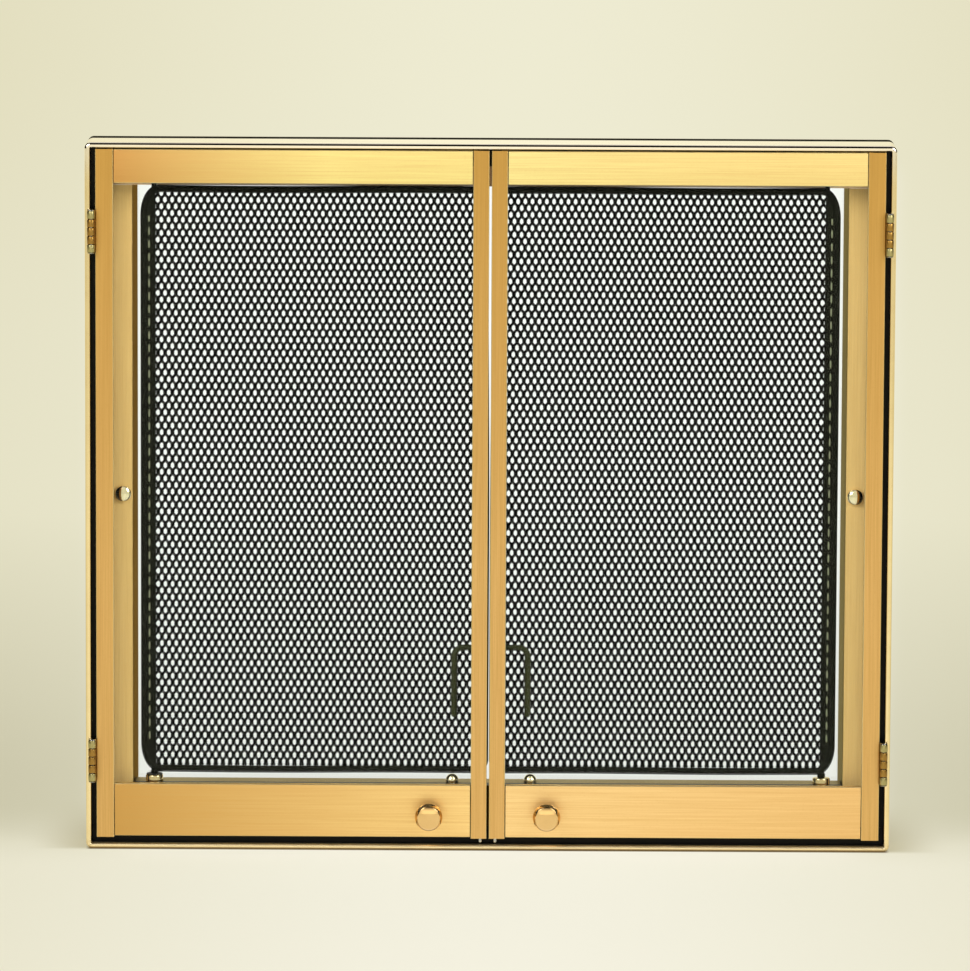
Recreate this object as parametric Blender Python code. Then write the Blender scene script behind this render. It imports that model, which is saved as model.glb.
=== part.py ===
"""Fireplace door for a masonry opening: a polished brass frame, two glass doors and two mesh screens.

Metres, +Z up. The front faces -Y and the origin is under the middle of the part, on its base.
Every piece is one object. Pieces that swing hang on an empty that stands on their hinge axis.
"""
import math

import bmesh
import bpy
import numpy as np
from mathutils import Vector

# Clearance between pieces that rest on, sit in or butt against each other
SEAT_GAP = 0.0003

# Outer frame: four mitred brass members with a bead along the front and a thin skin behind it
FRAME_WIDTH = 0.8636
FRAME_HEIGHT = 0.7620
FRAME_DEPTH = 0.0760
CORNER_RADIUS = 0.0065
CORNER_STEPS = 4
BEAD_WIDTH = 0.0058
BEAD_DEPTH = 0.0085
BEAD_ROUND = 0.0014
SKIN = 0.0020

# Black steel liner inside the frame, with the flange that the closed doors stop against
LINER_THICKNESS = 0.0035
STOP_REACH = 0.0188
STOP_THICKNESS = 0.0020
STOP_CLEARANCE = 0.0006

# Doors: channel sections with a pocket for the glass
DOOR_SETBACK = 0.0010
DOOR_DEPTH = 0.0120
DOOR_SIDE_GAP = 0.0055
DOOR_TOP_GAP = 0.0013
DOOR_BOTTOM_GAP = 0.0067
CENTRE_GAP = 0.0026
RAIL_LIFT = 0.0015
OUTER_STILE = 0.0190
INNER_STILE = 0.0171
TOP_RAIL = 0.0360
BOTTOM_RAIL = 0.0570
CHANNEL_WALL = 0.0016
POCKET_DEPTH = 0.0062
POCKET_WIDTH = 0.0048
GLASS_THICKNESS = 0.0040
GLASS_EDGE_GAP = 0.0010

# Door knobs and their screws
KNOB_FROM_CENTRE = 0.0632
KNOB_ABOVE_RAIL_FOOT = 0.0258
KNOB_LENGTH = 0.0270
KNOB_RIM_RADIUS = 0.0148
KNOB_FACE_RADIUS = 0.0119
KNOB_BASE_RADIUS = 0.0107
KNOB_NECK_RADIUS = 0.0068
SCREW_RADIUS = 0.0020
SCREW_HOLE_RADIUS = 0.0025
SCREW_HEAD_RADIUS = 0.0044
SCREW_HEAD_HEIGHT = 0.0022
SCREW_GRIP = 0.0120

# Butt hinges with the barrel standing in front of the frame
BARREL_RADIUS = 0.0042
BARREL_LENGTH = 0.0450
BARREL_STAND_OFF = 0.0005
KNUCKLES = 5
KNUCKLE_GAP = 0.00025
BARREL_SIDES = 16
PIN_RADIUS = 0.0014
PIN_PLAY = 0.0003
PIN_HEAD_HEIGHT = 0.0012
LEAF_THICKNESS = 0.0012
UPPER_HINGE_FROM_TOP = 0.0889
LOWER_HINGE_FROM_FOOT = 0.0840

# Bullet catches in the feet of the inner stiles
CATCH_RADIUS = 0.0020
CATCH_RUNNING_GAP = 0.0006
CATCH_TONGUE_HEIGHT = 0.0260

# Jamb plates, header and sill: satin brass sheet behind the doors
SHEET = 0.0015
JAMB_SETBACK = 0.0370
JAMB_FACE = 0.0436
JAMB_SPLAY = 0.0031
HEADER_DROP = 0.0485
SILL_HEIGHT = 0.0680
SILL_BACK = 0.0570

# Polished buttons: two on the jambs and two under the screens
JAMB_BUTTON_RADIUS = 0.0089
JAMB_BUTTON_HEIGHT = 0.0062
JAMB_BUTTON_FROM_EDGE = 0.0111
JAMB_BUTTON_BELOW_MIDDLE = 0.0004
REST_BUTTON_RADIUS = 0.0070
REST_BUTTON_FROM_CENTRE = {"left": 0.0385, "right": 0.0455}

# Mesh screens: a bent rod ring on two pivots, with a diamond net inside it
ROD_RADIUS = 0.00395
ROD_SIDES = 12
SCREEN_SETBACK = 0.0300
SCREEN_SIDE_GAP = 0.0083
SCREEN_CENTRE_GAP = 0.0042
SCREEN_LIFT = 0.0107
SCREEN_DROP = 0.0480
SCREEN_TOP_GAP = 0.0025
CORNER_RUN = 0.0155
CORNER_RISE = 0.0280
INNER_CORNER = 0.0110
BEND_STEPS = 7
PIVOT_INSET = 0.0105
PIVOT_RADIUS = 0.0026
PIVOT_PLAY = 0.0005
COLLAR_RADIUS = 0.0042
NET_THICKNESS = 0.0012
NET_COLUMNS = 8
NET_ROWS = 8
STRAND = 0.0032
NET_HEM = 0.0080
NET_BORDER = 0.0020

# Screen handles
HANDLE_FROM_CENTRE = {"left": 0.0386, "right": 0.0430}
HANDLE_ABOVE_ROD = 0.13390
HANDLE_LENGTH = 0.0758
HANDLE_BEND = 0.0090
HANDLE_RADIUS = 0.0034
HANDLE_SIDES = 10

# Pivot bearings
BUSH_RADIUS = 0.0094
BUSH_HEIGHT = 0.0076
WASHER_RADIUS = 0.0087
WASHER_THICKNESS = 0.0011
PIN_FOOT_GAP = 0.0006
BRACKET_WIDTH = 0.0220
BRACKET_THICKNESS = 0.0020
BRACKET_HEIGHT = 0.0230
BRACKET_NOSE = 0.0070
PIN_ABOVE_BRACKET = 0.0030

# Hearth brackets that hold the frame down
FOOT_WIDTH = 0.0320
FOOT_HEIGHT = 0.0300
FOOT_THICKNESS = 0.0025
FOOT_HOLE_RADIUS = 0.0032
FOOT_FROM_SIDE = 0.1718

ROUND_SIDES = 24

# Planes and edges that follow from the sizes above. FRONT is the plane of the frame's front face,
# placed so that the part, from the knobs to the back of the frame, is centred on y = 0.
FRONT = -(FRAME_DEPTH + DOOR_SETBACK - KNOB_LENGTH) / 2
BACK = FRONT + FRAME_DEPTH
HALF_WIDTH = FRAME_WIDTH / 2
LINER_OUTER = SKIN + SEAT_GAP
LINER_INNER = LINER_OUTER + LINER_THICKNESS
DOOR_FRONT = FRONT + DOOR_SETBACK
DOOR_BACK = DOOR_FRONT + DOOR_DEPTH
DOOR_EDGE = HALF_WIDTH - BEAD_WIDTH - DOOR_SIDE_GAP
DOOR_TOP = FRAME_HEIGHT - BEAD_WIDTH - DOOR_TOP_GAP
DOOR_FOOT = BEAD_WIDTH + DOOR_BOTTOM_GAP
RAIL_FOOT = DOOR_FOOT + RAIL_LIFT
STOP_FRONT = DOOR_BACK + STOP_CLEARANCE
STOP_BACK = STOP_FRONT + STOP_THICKNESS
PLATE_EDGE = HALF_WIDTH - LINER_INNER - SEAT_GAP
JAMB_FRONT = FRONT + JAMB_SETBACK
OPENING_EDGE = PLATE_EDGE - JAMB_FACE
HEADER_FOOT = FRAME_HEIGHT - HEADER_DROP
SILL_FRONT = STOP_BACK + SEAT_GAP
SCREEN_Y = FRONT + SCREEN_SETBACK
ROD_OUTER = OPENING_EDGE - SCREEN_SIDE_GAP - ROD_RADIUS
ROD_INNER = SCREEN_CENTRE_GAP / 2 + ROD_RADIUS
ROD_LOW = SILL_HEIGHT + SCREEN_LIFT + ROD_RADIUS
ROD_HIGH = FRAME_HEIGHT - SCREEN_DROP - ROD_RADIUS
BRACKET_FOOT = ROD_HIGH + ROD_RADIUS + SCREEN_TOP_GAP
HANDLE_TOP = ROD_LOW + HANDLE_ABOVE_ROD
PIVOT_X = ROD_OUTER - PIVOT_INSET
HINGE_X = DOOR_EDGE + BARREL_RADIUS
HINGE_Y = FRONT - BARREL_STAND_OFF - BARREL_RADIUS
SIDES = {"left": -1, "right": 1}


# Materials: colour as linear values, metallic, roughness
def material(name, colour, metallic, roughness, alpha=1.0):
    mat = bpy.data.materials.new(name)
    mat.use_nodes = True
    mat.diffuse_color = (*colour, alpha)
    shader = mat.node_tree.nodes["Principled BSDF"]
    shader.inputs["Base Color"].default_value = (*colour, 1.0)
    shader.inputs["Metallic"].default_value = metallic
    shader.inputs["Roughness"].default_value = roughness
    shader.inputs["Alpha"].default_value = alpha
    return mat


FINISHES = {
    "polished_brass": ((0.83, 0.60, 0.25), 1.0, 0.12),
    "satin_brass": ((0.72, 0.46, 0.16), 1.0, 0.35),
    "black_paint": ((0.012, 0.012, 0.010), 0.0, 0.55),
    "olive_black_paint": ((0.030, 0.036, 0.018), 0.0, 0.45),
    "steel": ((0.60, 0.60, 0.58), 1.0, 0.25),
    "clear_glass": ((0.95, 0.98, 0.96), 0.0, 0.02),
}


# Base tools: every piece is given in world coordinates and stored relative to its pivot
def clear_scene():
    for obj in list(bpy.data.objects):
        bpy.data.objects.remove(obj, do_unlink=True)


def pivot(name, x, y):
    empty = bpy.data.objects.new(name, None)
    empty.location = (x, y, 0.0)
    bpy.context.scene.collection.objects.link(empty)
    return empty


def piece(name, points, faces, finish, parent=None, smooth=False):
    """Mesh object from world points and faces; its normals are turned outwards."""
    base = Vector((0, 0, 0)) if parent is None else parent.location
    mesh = bpy.data.meshes.new(name)
    local = [tuple(Vector(p) - base) for p in points]
    mesh.from_pydata(local, [], [tuple(f) for f in faces])
    work = bmesh.new()
    work.from_mesh(mesh)
    bmesh.ops.recalc_face_normals(work, faces=work.faces)
    work.to_mesh(mesh)
    work.free()
    colour, metallic, roughness = FINISHES[finish]
    opacity = 0.3 if finish == "clear_glass" else 1.0
    mesh.materials.append(material(name, colour, metallic, roughness, opacity))
    if smooth:
        mesh.shade_smooth()
        mesh.set_sharp_from_angle(angle=math.radians(32))
    obj = bpy.data.objects.new(name, mesh)
    obj.parent = parent
    bpy.context.scene.collection.objects.link(obj)
    return obj


def helper(name, points, faces, parent=None):
    """A shape that only cuts or joins another piece."""
    obj = piece(name, points, faces, "steel", parent)
    obj.hide_render = True
    obj.display_type = "WIRE"
    return obj


def combine(obj, other, operation):
    boolean = obj.modifiers.new(other.name, "BOOLEAN")
    boolean.operation = operation
    boolean.solver = "EXACT"
    boolean.object = other


def box_shape(low, high):
    xs, ys, zs = zip(low, high)
    points = [(x, y, z) for x in xs for y in ys for z in zs]
    faces = [(0, 1, 3, 2), (4, 6, 7, 5), (0, 4, 5, 1), (2, 3, 7, 6), (0, 2, 6, 4), (1, 5, 7, 3)]
    return points, faces


def sweep_shape(rings, closed=False):
    """Skin over equal rings of points; open sweeps get a flat cap at each end."""
    count = len(rings[0])
    points = [tuple(p) for ring in rings for p in ring]
    faces = []
    last = len(rings) if closed else len(rings) - 1
    for i in range(last):
        a, b = i * count, ((i + 1) % len(rings)) * count
        for j in range(count):
            k = (j + 1) % count
            faces.append((a + j, a + k, b + k, b + j))
    if not closed:
        faces.append(tuple(range(count)))
        faces.append(tuple(range((len(rings) - 1) * count, len(rings) * count)))
    return points, faces


def prism_x(outline, x_low, x_high):
    """Outline of (y, z) points drawn out along X."""
    return sweep_shape([[(x, y, z) for y, z in outline] for x in (x_low, x_high)])


def prism_y(outline, y_low, y_high):
    """Outline of (x, z) points drawn out along Y."""
    return sweep_shape([[(x, y, z) for x, z in outline] for y in (y_low, y_high)])


def prism_z(outline, z_low, z_high):
    """Outline of (x, y) points drawn out along Z."""
    return sweep_shape([[(x, y, z) for x, y in outline] for z in (z_low, z_high)])


def turned_shape(profile, centre, axis, sides=ROUND_SIDES):
    """Profile of (radius, height) points turned about an axis through centre, with flat ends."""
    turn = np.arange(sides) * 2 * math.pi / sides
    axis = Vector(axis)
    across = Vector((1, 0, 0)) if abs(axis.x) < 0.5 else Vector((0, 1, 0))
    other = axis.cross(across)
    rings = []
    for radius, height in profile:
        at = Vector(centre) + axis * height
        rings.append([at + (across * math.cos(a) + other * math.sin(a)) * radius for a in turn])
    return sweep_shape(rings)


def tube_shape(path, radius, sides, closed=False):
    """Round rod along a path that lies in a plane of constant Y."""
    path = np.array(path)
    if closed:
        ahead = np.roll(path, -1, axis=0) - path
        behind = path - np.roll(path, 1, axis=0)
    else:
        ahead = np.vstack([np.diff(path, axis=0), path[-1:] - path[-2:-1]])
        behind = np.vstack([ahead[:1], np.diff(path, axis=0)])
    ahead /= np.linalg.norm(ahead, axis=1)[:, None]
    behind /= np.linalg.norm(behind, axis=1)[:, None]
    along = ahead + behind
    along /= np.linalg.norm(along, axis=1)[:, None]
    stretch = 1 / np.sum(along * ahead, axis=1)
    depth = np.array([0.0, 1.0, 0.0])
    across = np.cross(along, depth) * stretch[:, None]
    turn = np.arange(sides) * 2 * math.pi / sides
    rings = []
    for centre, side in zip(path, across):
        rings.append([centre + radius * (side * math.cos(a) + depth * math.sin(a)) for a in turn])
    return sweep_shape(rings, closed)


def arc(cx, cz, run, rise, start, end, steps):
    """Points of a quarter ellipse in (x, z), angles in degrees."""
    angles = np.radians(np.linspace(start, end, steps + 1))
    return [(cx + run * math.cos(a), cz + rise * math.sin(a)) for a in angles]


def inset_outline(path, inset):
    """Closed (x, z) outline moved inwards by a constant distance; the path runs anticlockwise."""
    path = np.array(path)
    ahead = np.roll(path, -1, axis=0) - path
    behind = path - np.roll(path, 1, axis=0)
    ahead /= np.linalg.norm(ahead, axis=1)[:, None]
    behind /= np.linalg.norm(behind, axis=1)[:, None]
    along = ahead + behind
    along /= np.linalg.norm(along, axis=1)[:, None]
    stretch = 1 / np.sum(along * ahead, axis=1)
    inward = np.stack([-along[:, 1], along[:, 0]], axis=1)
    return path + inward * (inset * stretch)[:, None]


# Outer frame
def frame_section():
    """(inward, back) points of a frame member: rounded bead in front, thin skin behind."""
    quarter = np.radians(np.linspace(0, 90, 4))
    rounding = [(BEAD_ROUND * (1 - math.cos(a)), BEAD_ROUND * (1 - math.sin(a))) for a in quarter]
    inner = [(BEAD_WIDTH - across, depth) for across, depth in reversed(rounding)]
    back = [(BEAD_WIDTH, BEAD_DEPTH), (SKIN, BEAD_DEPTH), (SKIN, FRAME_DEPTH), (0.0, FRAME_DEPTH)]
    return rounding + inner + back


def corner_rings(section, end, middle):
    """Rings of one rounded corner, from its mitre to the straight run of the member."""
    corner = math.radians(end)
    towards = math.copysign(1, middle - end)
    cx = (HALF_WIDTH - CORNER_RADIUS) * math.copysign(1, math.cos(corner))
    cz = FRAME_HEIGHT / 2 + (FRAME_HEIGHT / 2 - CORNER_RADIUS) * math.copysign(1, math.sin(corner))
    rings = []
    for step in range(CORNER_STEPS):
        turn = corner + towards * math.radians(45) * step / (CORNER_STEPS - 1)
        slip = towards * SEAT_GAP / 2 if step == 0 else 0.0
        ring = []
        for inward, depth in section:
            reach = CORNER_RADIUS - inward
            x = cx + reach * math.cos(turn) - slip * math.sin(turn)
            z = cz + reach * math.sin(turn) + slip * math.cos(turn)
            ring.append((x, FRONT + depth, z))
        rings.append(ring)
    return rings


def build_frame():
    section = frame_section()
    members = {"top": 90, "left": 180, "bottom": 270, "right": 360}
    for name, middle in members.items():
        rings = corner_rings(section, middle - 45, middle)
        rings += corner_rings(section, middle + 45, middle)[::-1]
        piece("frame_" + name, *sweep_shape(rings), "polished_brass", smooth=True)


def liner_section():
    """(inward, y) points of the liner: a flat strip with the door stop standing on it."""
    return [
        (LINER_OUTER, FRONT + BEAD_DEPTH + SEAT_GAP),
        (LINER_INNER, FRONT + BEAD_DEPTH + SEAT_GAP),
        (LINER_INNER, STOP_FRONT),
        (LINER_INNER + STOP_REACH, STOP_FRONT),
        (LINER_INNER + STOP_REACH, STOP_BACK),
        (LINER_INNER, STOP_BACK),
        (LINER_INNER, BACK),
        (LINER_OUTER, BACK),
    ]


def build_liner():
    section = liner_section()
    run = HALF_WIDTH - CORNER_RADIUS
    piece("liner_bottom", *prism_x([(y, n) for n, y in section], -run, run), "black_paint")
    piece("liner_top", *prism_x([(y, FRAME_HEIGHT - n) for n, y in section], -run, run), "black_paint")
    low = LINER_INNER + STOP_REACH + SEAT_GAP
    high = FRAME_HEIGHT - low
    strip_front = FRONT + BEAD_DEPTH + SEAT_GAP
    for side, sign in SIDES.items():
        inner, outer = (sign * (HALF_WIDTH - n) for n in (LINER_INNER, LINER_OUTER))
        strip = [(outer, strip_front), (inner, strip_front), (inner, BACK), (outer, BACK)]
        shape = prism_z(strip, CORNER_RADIUS, FRAME_HEIGHT - CORNER_RADIUS)
        liner = piece("liner_" + side, *shape, "black_paint")
        edge = inner - sign * STOP_REACH
        root = inner + sign * LINER_THICKNESS / 2
        stop = [(root, STOP_FRONT), (edge, STOP_FRONT), (edge, STOP_BACK), (root, STOP_BACK)]
        combine(liner, helper("stop_" + side, *prism_z(stop, low, high)), "UNION")


# Jamb plates, header and sill
def build_surround():
    header = [
        (JAMB_FRONT, HEADER_FOOT),
        (BACK, HEADER_FOOT),
        (BACK, HEADER_FOOT + SHEET),
        (JAMB_FRONT + SHEET, HEADER_FOOT + SHEET),
        (JAMB_FRONT + SHEET, FRAME_HEIGHT - LINER_INNER - SEAT_GAP),
        (JAMB_FRONT, FRAME_HEIGHT - LINER_INNER - SEAT_GAP),
    ]
    piece("header_plate", *prism_x(header, -PLATE_EDGE, PLATE_EDGE), "satin_brass")
    foot = LINER_INNER + SEAT_GAP
    sill_back = FRONT + SILL_BACK
    sill = [
        (SILL_FRONT, foot),
        (SILL_FRONT + SHEET, foot),
        (SILL_FRONT + SHEET, SILL_HEIGHT - SHEET),
        (sill_back - SHEET, SILL_HEIGHT - SHEET),
        (sill_back - SHEET, foot),
        (sill_back, foot),
        (sill_back, SILL_HEIGHT),
        (SILL_FRONT, SILL_HEIGHT),
    ]
    slope = JAMB_SPLAY / (BACK - JAMB_FRONT)
    reach = OPENING_EDGE - slope * (sill_back - JAMB_FRONT) - SEAT_GAP
    piece("sill_channel", *prism_x(sill, -reach, reach), "satin_brass")
    for side, sign in SIDES.items():
        jamb = [
            (sign * PLATE_EDGE, JAMB_FRONT),
            (sign * OPENING_EDGE, JAMB_FRONT),
            (sign * (OPENING_EDGE - JAMB_SPLAY), BACK),
            (sign * (OPENING_EDGE - JAMB_SPLAY + SHEET), BACK),
            (sign * (OPENING_EDGE + SHEET), JAMB_FRONT + SHEET),
            (sign * PLATE_EDGE, JAMB_FRONT + SHEET),
        ]
        shape = prism_z(jamb, foot, HEADER_FOOT - SEAT_GAP)
        piece("jamb_plate_" + side, *shape, "satin_brass")


def dome_profile(radius, height):
    """(radius, height) points of a turned button: short cylinder with a domed top."""
    wall = height * 0.35
    angles = np.radians(np.linspace(0, 78, 5))
    return [(radius, 0.0)] + [(radius * math.cos(a), wall + (height - wall) * math.sin(a)) for a in angles]


def build_buttons():
    for side, sign in SIDES.items():
        x = sign * (OPENING_EDGE + JAMB_BUTTON_FROM_EDGE)
        centre = (x, JAMB_FRONT - SEAT_GAP, FRAME_HEIGHT / 2 - JAMB_BUTTON_BELOW_MIDDLE)
        shape = turned_shape(dome_profile(JAMB_BUTTON_RADIUS, JAMB_BUTTON_HEIGHT), centre, (0, -1, 0))
        piece("jamb_button_" + side, *shape, "polished_brass", smooth=True)
        centre = (sign * REST_BUTTON_FROM_CENTRE[side], SCREEN_Y, SILL_HEIGHT + SEAT_GAP)
        height = SCREEN_LIFT - 2 * SEAT_GAP
        shape = turned_shape(dome_profile(REST_BUTTON_RADIUS, height), centre, (0, 0, 1))
        piece("screen_rest_" + side, *shape, "polished_brass", smooth=True)


# Doors
def channel_section(width):
    """(across, deep) points of a door section: across runs from its outer edge to the glass side."""
    web = width - POCKET_DEPTH
    lip = CHANNEL_WALL + POCKET_WIDTH
    return [
        (0.0, 0.0),
        (width, 0.0),
        (width, CHANNEL_WALL),
        (web, CHANNEL_WALL),
        (web, lip),
        (width, lip),
        (width, lip + CHANNEL_WALL),
        (web, lip + CHANNEL_WALL),
        (web, DOOR_DEPTH),
        (web - CHANNEL_WALL, DOOR_DEPTH),
        (web - CHANNEL_WALL, CHANNEL_WALL),
        (CHANNEL_WALL, CHANNEL_WALL),
        (CHANNEL_WALL, DOOR_DEPTH),
        (0.0, DOOR_DEPTH),
    ]


def build_door(side, sign, hinge):
    inner_edge = CENTRE_GAP / 2
    outer = [(sign * (DOOR_EDGE - a), DOOR_FRONT + d) for a, d in channel_section(OUTER_STILE)]
    inner = [(sign * (inner_edge + a), DOOR_FRONT + d) for a, d in channel_section(INNER_STILE)]
    piece(side + "_outer_stile", *prism_z(outer, DOOR_FOOT, DOOR_TOP), "satin_brass", hinge)
    piece(side + "_inner_stile", *prism_z(inner, DOOR_FOOT, DOOR_TOP), "satin_brass", hinge)

    ends = sorted((sign * (inner_edge + INNER_STILE + SEAT_GAP), sign * (DOOR_EDGE - OUTER_STILE - SEAT_GAP)))
    top = [(DOOR_FRONT + d, DOOR_TOP - a) for a, d in channel_section(TOP_RAIL)]
    low = [(DOOR_FRONT + d, RAIL_FOOT + a) for a, d in channel_section(BOTTOM_RAIL)]
    piece(side + "_top_rail", *prism_x(top, *ends), "satin_brass", hinge)
    rail = piece(side + "_bottom_rail", *prism_x(low, *ends), "satin_brass", hinge)

    knob_x = sign * KNOB_FROM_CENTRE
    knob_z = RAIL_FOOT + KNOB_ABOVE_RAIL_FOOT
    hole = [(SCREW_HOLE_RADIUS, -DOOR_SETBACK), (SCREW_HOLE_RADIUS, CHANNEL_WALL + DOOR_SETBACK)]
    drill = helper(side + "_knob_hole", *turned_shape(hole, (knob_x, DOOR_FRONT, knob_z), (0, 1, 0)), hinge)
    combine(rail, drill, "DIFFERENCE")
    build_knob(side, (knob_x, DOOR_FRONT, knob_z), hinge)

    edge = POCKET_DEPTH - GLASS_EDGE_GAP
    pane_y = DOOR_FRONT + CHANNEL_WALL + (POCKET_WIDTH - GLASS_THICKNESS) / 2
    xs = sorted((sign * (inner_edge + INNER_STILE - edge), sign * (DOOR_EDGE - OUTER_STILE + edge)))
    low_corner = (xs[0], pane_y, RAIL_FOOT + BOTTOM_RAIL - edge)
    high_corner = (xs[1], pane_y + GLASS_THICKNESS, DOOR_TOP - TOP_RAIL + edge)
    piece(side + "_glass", *box_shape(low_corner, high_corner), "clear_glass", hinge)
    build_catch(side, sign, hinge)


def build_knob(side, seat, hinge):
    """Turned knob: base disc, neck, wide rim and a flat face; a screw holds it from behind."""
    length = KNOB_LENGTH - SEAT_GAP
    bore = SCREW_RADIUS + SEAT_GAP
    depth = SCREW_GRIP + SEAT_GAP
    profile = [
        (bore, depth),
        (bore, 0.0),
        (KNOB_BASE_RADIUS, 0.0),
        (KNOB_BASE_RADIUS, length * 0.07),
        (KNOB_BASE_RADIUS * 0.86, length * 0.13),
        (KNOB_NECK_RADIUS, length * 0.24),
        (KNOB_NECK_RADIUS, length * 0.44),
        (KNOB_RIM_RADIUS * 0.80, length * 0.62),
        (KNOB_RIM_RADIUS, length * 0.72),
        (KNOB_RIM_RADIUS, length * 0.82),
        (KNOB_FACE_RADIUS, length),
    ]
    x, y, z = seat
    shape = turned_shape(profile, (x, y - SEAT_GAP, z), (0, -1, 0))
    piece(side + "_knob", *shape, "polished_brass", hinge, smooth=True)
    inner_face = CHANNEL_WALL + SEAT_GAP
    screw = [
        (SCREW_RADIUS, -SCREW_GRIP),
        (SCREW_RADIUS, inner_face),
        (SCREW_HEAD_RADIUS, inner_face),
        (SCREW_HEAD_RADIUS, inner_face + SCREW_HEAD_HEIGHT * 0.55),
        (SCREW_HEAD_RADIUS * 0.6, inner_face + SCREW_HEAD_HEIGHT),
    ]
    piece(side + "_knob_screw", *turned_shape(screw, seat, (0, 1, 0)), "steel", hinge, smooth=True)


def build_catch(side, sign, hinge):
    """Bullet catch: a block inside the inner stile's channel with a round foot that runs over the bead."""
    near = CENTRE_GAP / 2 + CHANNEL_WALL + SEAT_GAP
    far = CENTRE_GAP / 2 + INNER_STILE - POCKET_DEPTH - CHANNEL_WALL - SEAT_GAP
    xs = sorted((sign * near, sign * far))
    y_low = DOOR_FRONT + CHANNEL_WALL + SEAT_GAP
    y_high = DOOR_BACK - SEAT_GAP
    block_foot = DOOR_FOOT + CATCH_RADIUS
    block = box_shape((xs[0], y_low, block_foot), (xs[1], y_high, block_foot + CATCH_TONGUE_HEIGHT))
    body = piece(side + "_door_catch", *block, "steel", hinge)
    shoulder = BEAD_WIDTH + CATCH_RUNNING_GAP + CATCH_RADIUS
    angles = np.radians(np.linspace(75, 0, 5))
    profile = [(CATCH_RADIUS * math.cos(a), -CATCH_RADIUS * math.sin(a)) for a in angles]
    profile.append((CATCH_RADIUS, block_foot + CATCH_RADIUS - shoulder))
    centre = (sign * (far - CATCH_RADIUS - SEAT_GAP), (y_low + y_high) / 2, shoulder)
    bullet = helper(side + "_bullet", *turned_shape(profile, centre, (0, 0, 1), BARREL_SIDES), hinge)
    combine(body, bullet, "UNION")


# Hinges
def build_leaf(name, kept, near, far, back, x, centre_z, parent):
    """Hinge leaf: plate behind the barrel and every second knuckle of the barrel, bored for the pin."""
    half = BARREL_LENGTH / 2
    plate_front = HINGE_Y + BARREL_RADIUS + KNUCKLE_GAP
    root = HINGE_Y
    if abs(near + far) / 2 > abs(x):
        root += (PIN_RADIUS + PIN_PLAY) * 1.5
    low = (min(near, far), root, centre_z - half)
    high = (max(near, far), back, centre_z + half)
    body = piece(name, *box_shape(low, high), "polished_brass", parent)
    centre = (x, HINGE_Y, centre_z)
    solid = [(BARREL_RADIUS, -half), (BARREL_RADIUS, half)]
    barrel = helper(name + "_barrel", *turned_shape(solid, centre, (0, 0, 1), BARREL_SIDES), parent)
    combine(body, barrel, "UNION")
    bore = PIN_RADIUS + PIN_PLAY
    hole = [(bore, -half - bore), (bore, half + bore)]
    reamer = helper(name + "_bore", *turned_shape(hole, centre, (0, 0, 1), BARREL_SIDES), parent)
    combine(body, reamer, "DIFFERENCE")
    step = BARREL_LENGTH / KNUCKLES
    reach = BARREL_RADIUS * 1.4
    for i in range(KNUCKLES):
        if i % 2 == kept:
            continue
        start = centre_z - half + i * step - KNUCKLE_GAP / 2
        end = start + step + KNUCKLE_GAP
        start -= BARREL_RADIUS if i == 0 else 0.0
        end += BARREL_RADIUS if i == KNUCKLES - 1 else 0.0
        notch = box_shape((x - reach, HINGE_Y - reach, start), (x + reach, plate_front, end))
        combine(body, helper(name + "_notch_%d" % i, *notch, parent), "DIFFERENCE")


def build_hinge(name, sign, centre_z, door_pivot):
    x = sign * HINGE_X
    far = HALF_WIDTH - BEAD_WIDTH - SEAT_GAP
    edges = (sign * (far - LEAF_THICKNESS), sign * far)
    build_leaf(name + "_frame_leaf", 0, *edges, STOP_FRONT - SEAT_GAP, x, centre_z, None)
    near = DOOR_EDGE + SEAT_GAP
    edges = (sign * near, sign * (near + LEAF_THICKNESS))
    build_leaf(name + "_door_leaf", 1, *edges, DOOR_BACK, x, centre_z, door_pivot)
    half = BARREL_LENGTH / 2 + SEAT_GAP
    head = BARREL_RADIUS * 0.92
    pin = [
        (head * 0.6, -half - PIN_HEAD_HEIGHT),
        (head, -half - PIN_HEAD_HEIGHT * 0.4),
        (head, -half),
        (PIN_RADIUS, -half),
        (PIN_RADIUS, half),
        (head, half),
        (head, half + PIN_HEAD_HEIGHT * 0.4),
        (head * 0.6, half + PIN_HEAD_HEIGHT),
    ]
    shape = turned_shape(pin, (x, HINGE_Y, centre_z), (0, 0, 1), BARREL_SIDES)
    piece(name + "_pin", *shape, "steel", smooth=True)


# Mesh screens
def rod_path(sign):
    """Anticlockwise (x, z) centre line of a screen's bent rod; outboard corners are tall and narrow."""
    mid_in = ROD_INNER + INNER_CORNER
    mid_out = ROD_OUTER - CORNER_RUN
    path = arc(mid_in, ROD_LOW + INNER_CORNER, INNER_CORNER, INNER_CORNER, 180, 270, BEND_STEPS)
    path += arc(mid_out, ROD_LOW + CORNER_RISE, CORNER_RUN, CORNER_RISE, 270, 360, BEND_STEPS)
    path += arc(mid_out, ROD_HIGH - CORNER_RISE, CORNER_RUN, CORNER_RISE, 0, 90, BEND_STEPS)
    path += arc(mid_in, ROD_HIGH - INNER_CORNER, INNER_CORNER, INNER_CORNER, 90, 180, BEND_STEPS)
    if sign < 0:
        path = [(-x, z) for x, z in reversed(path)]
    return path


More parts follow.
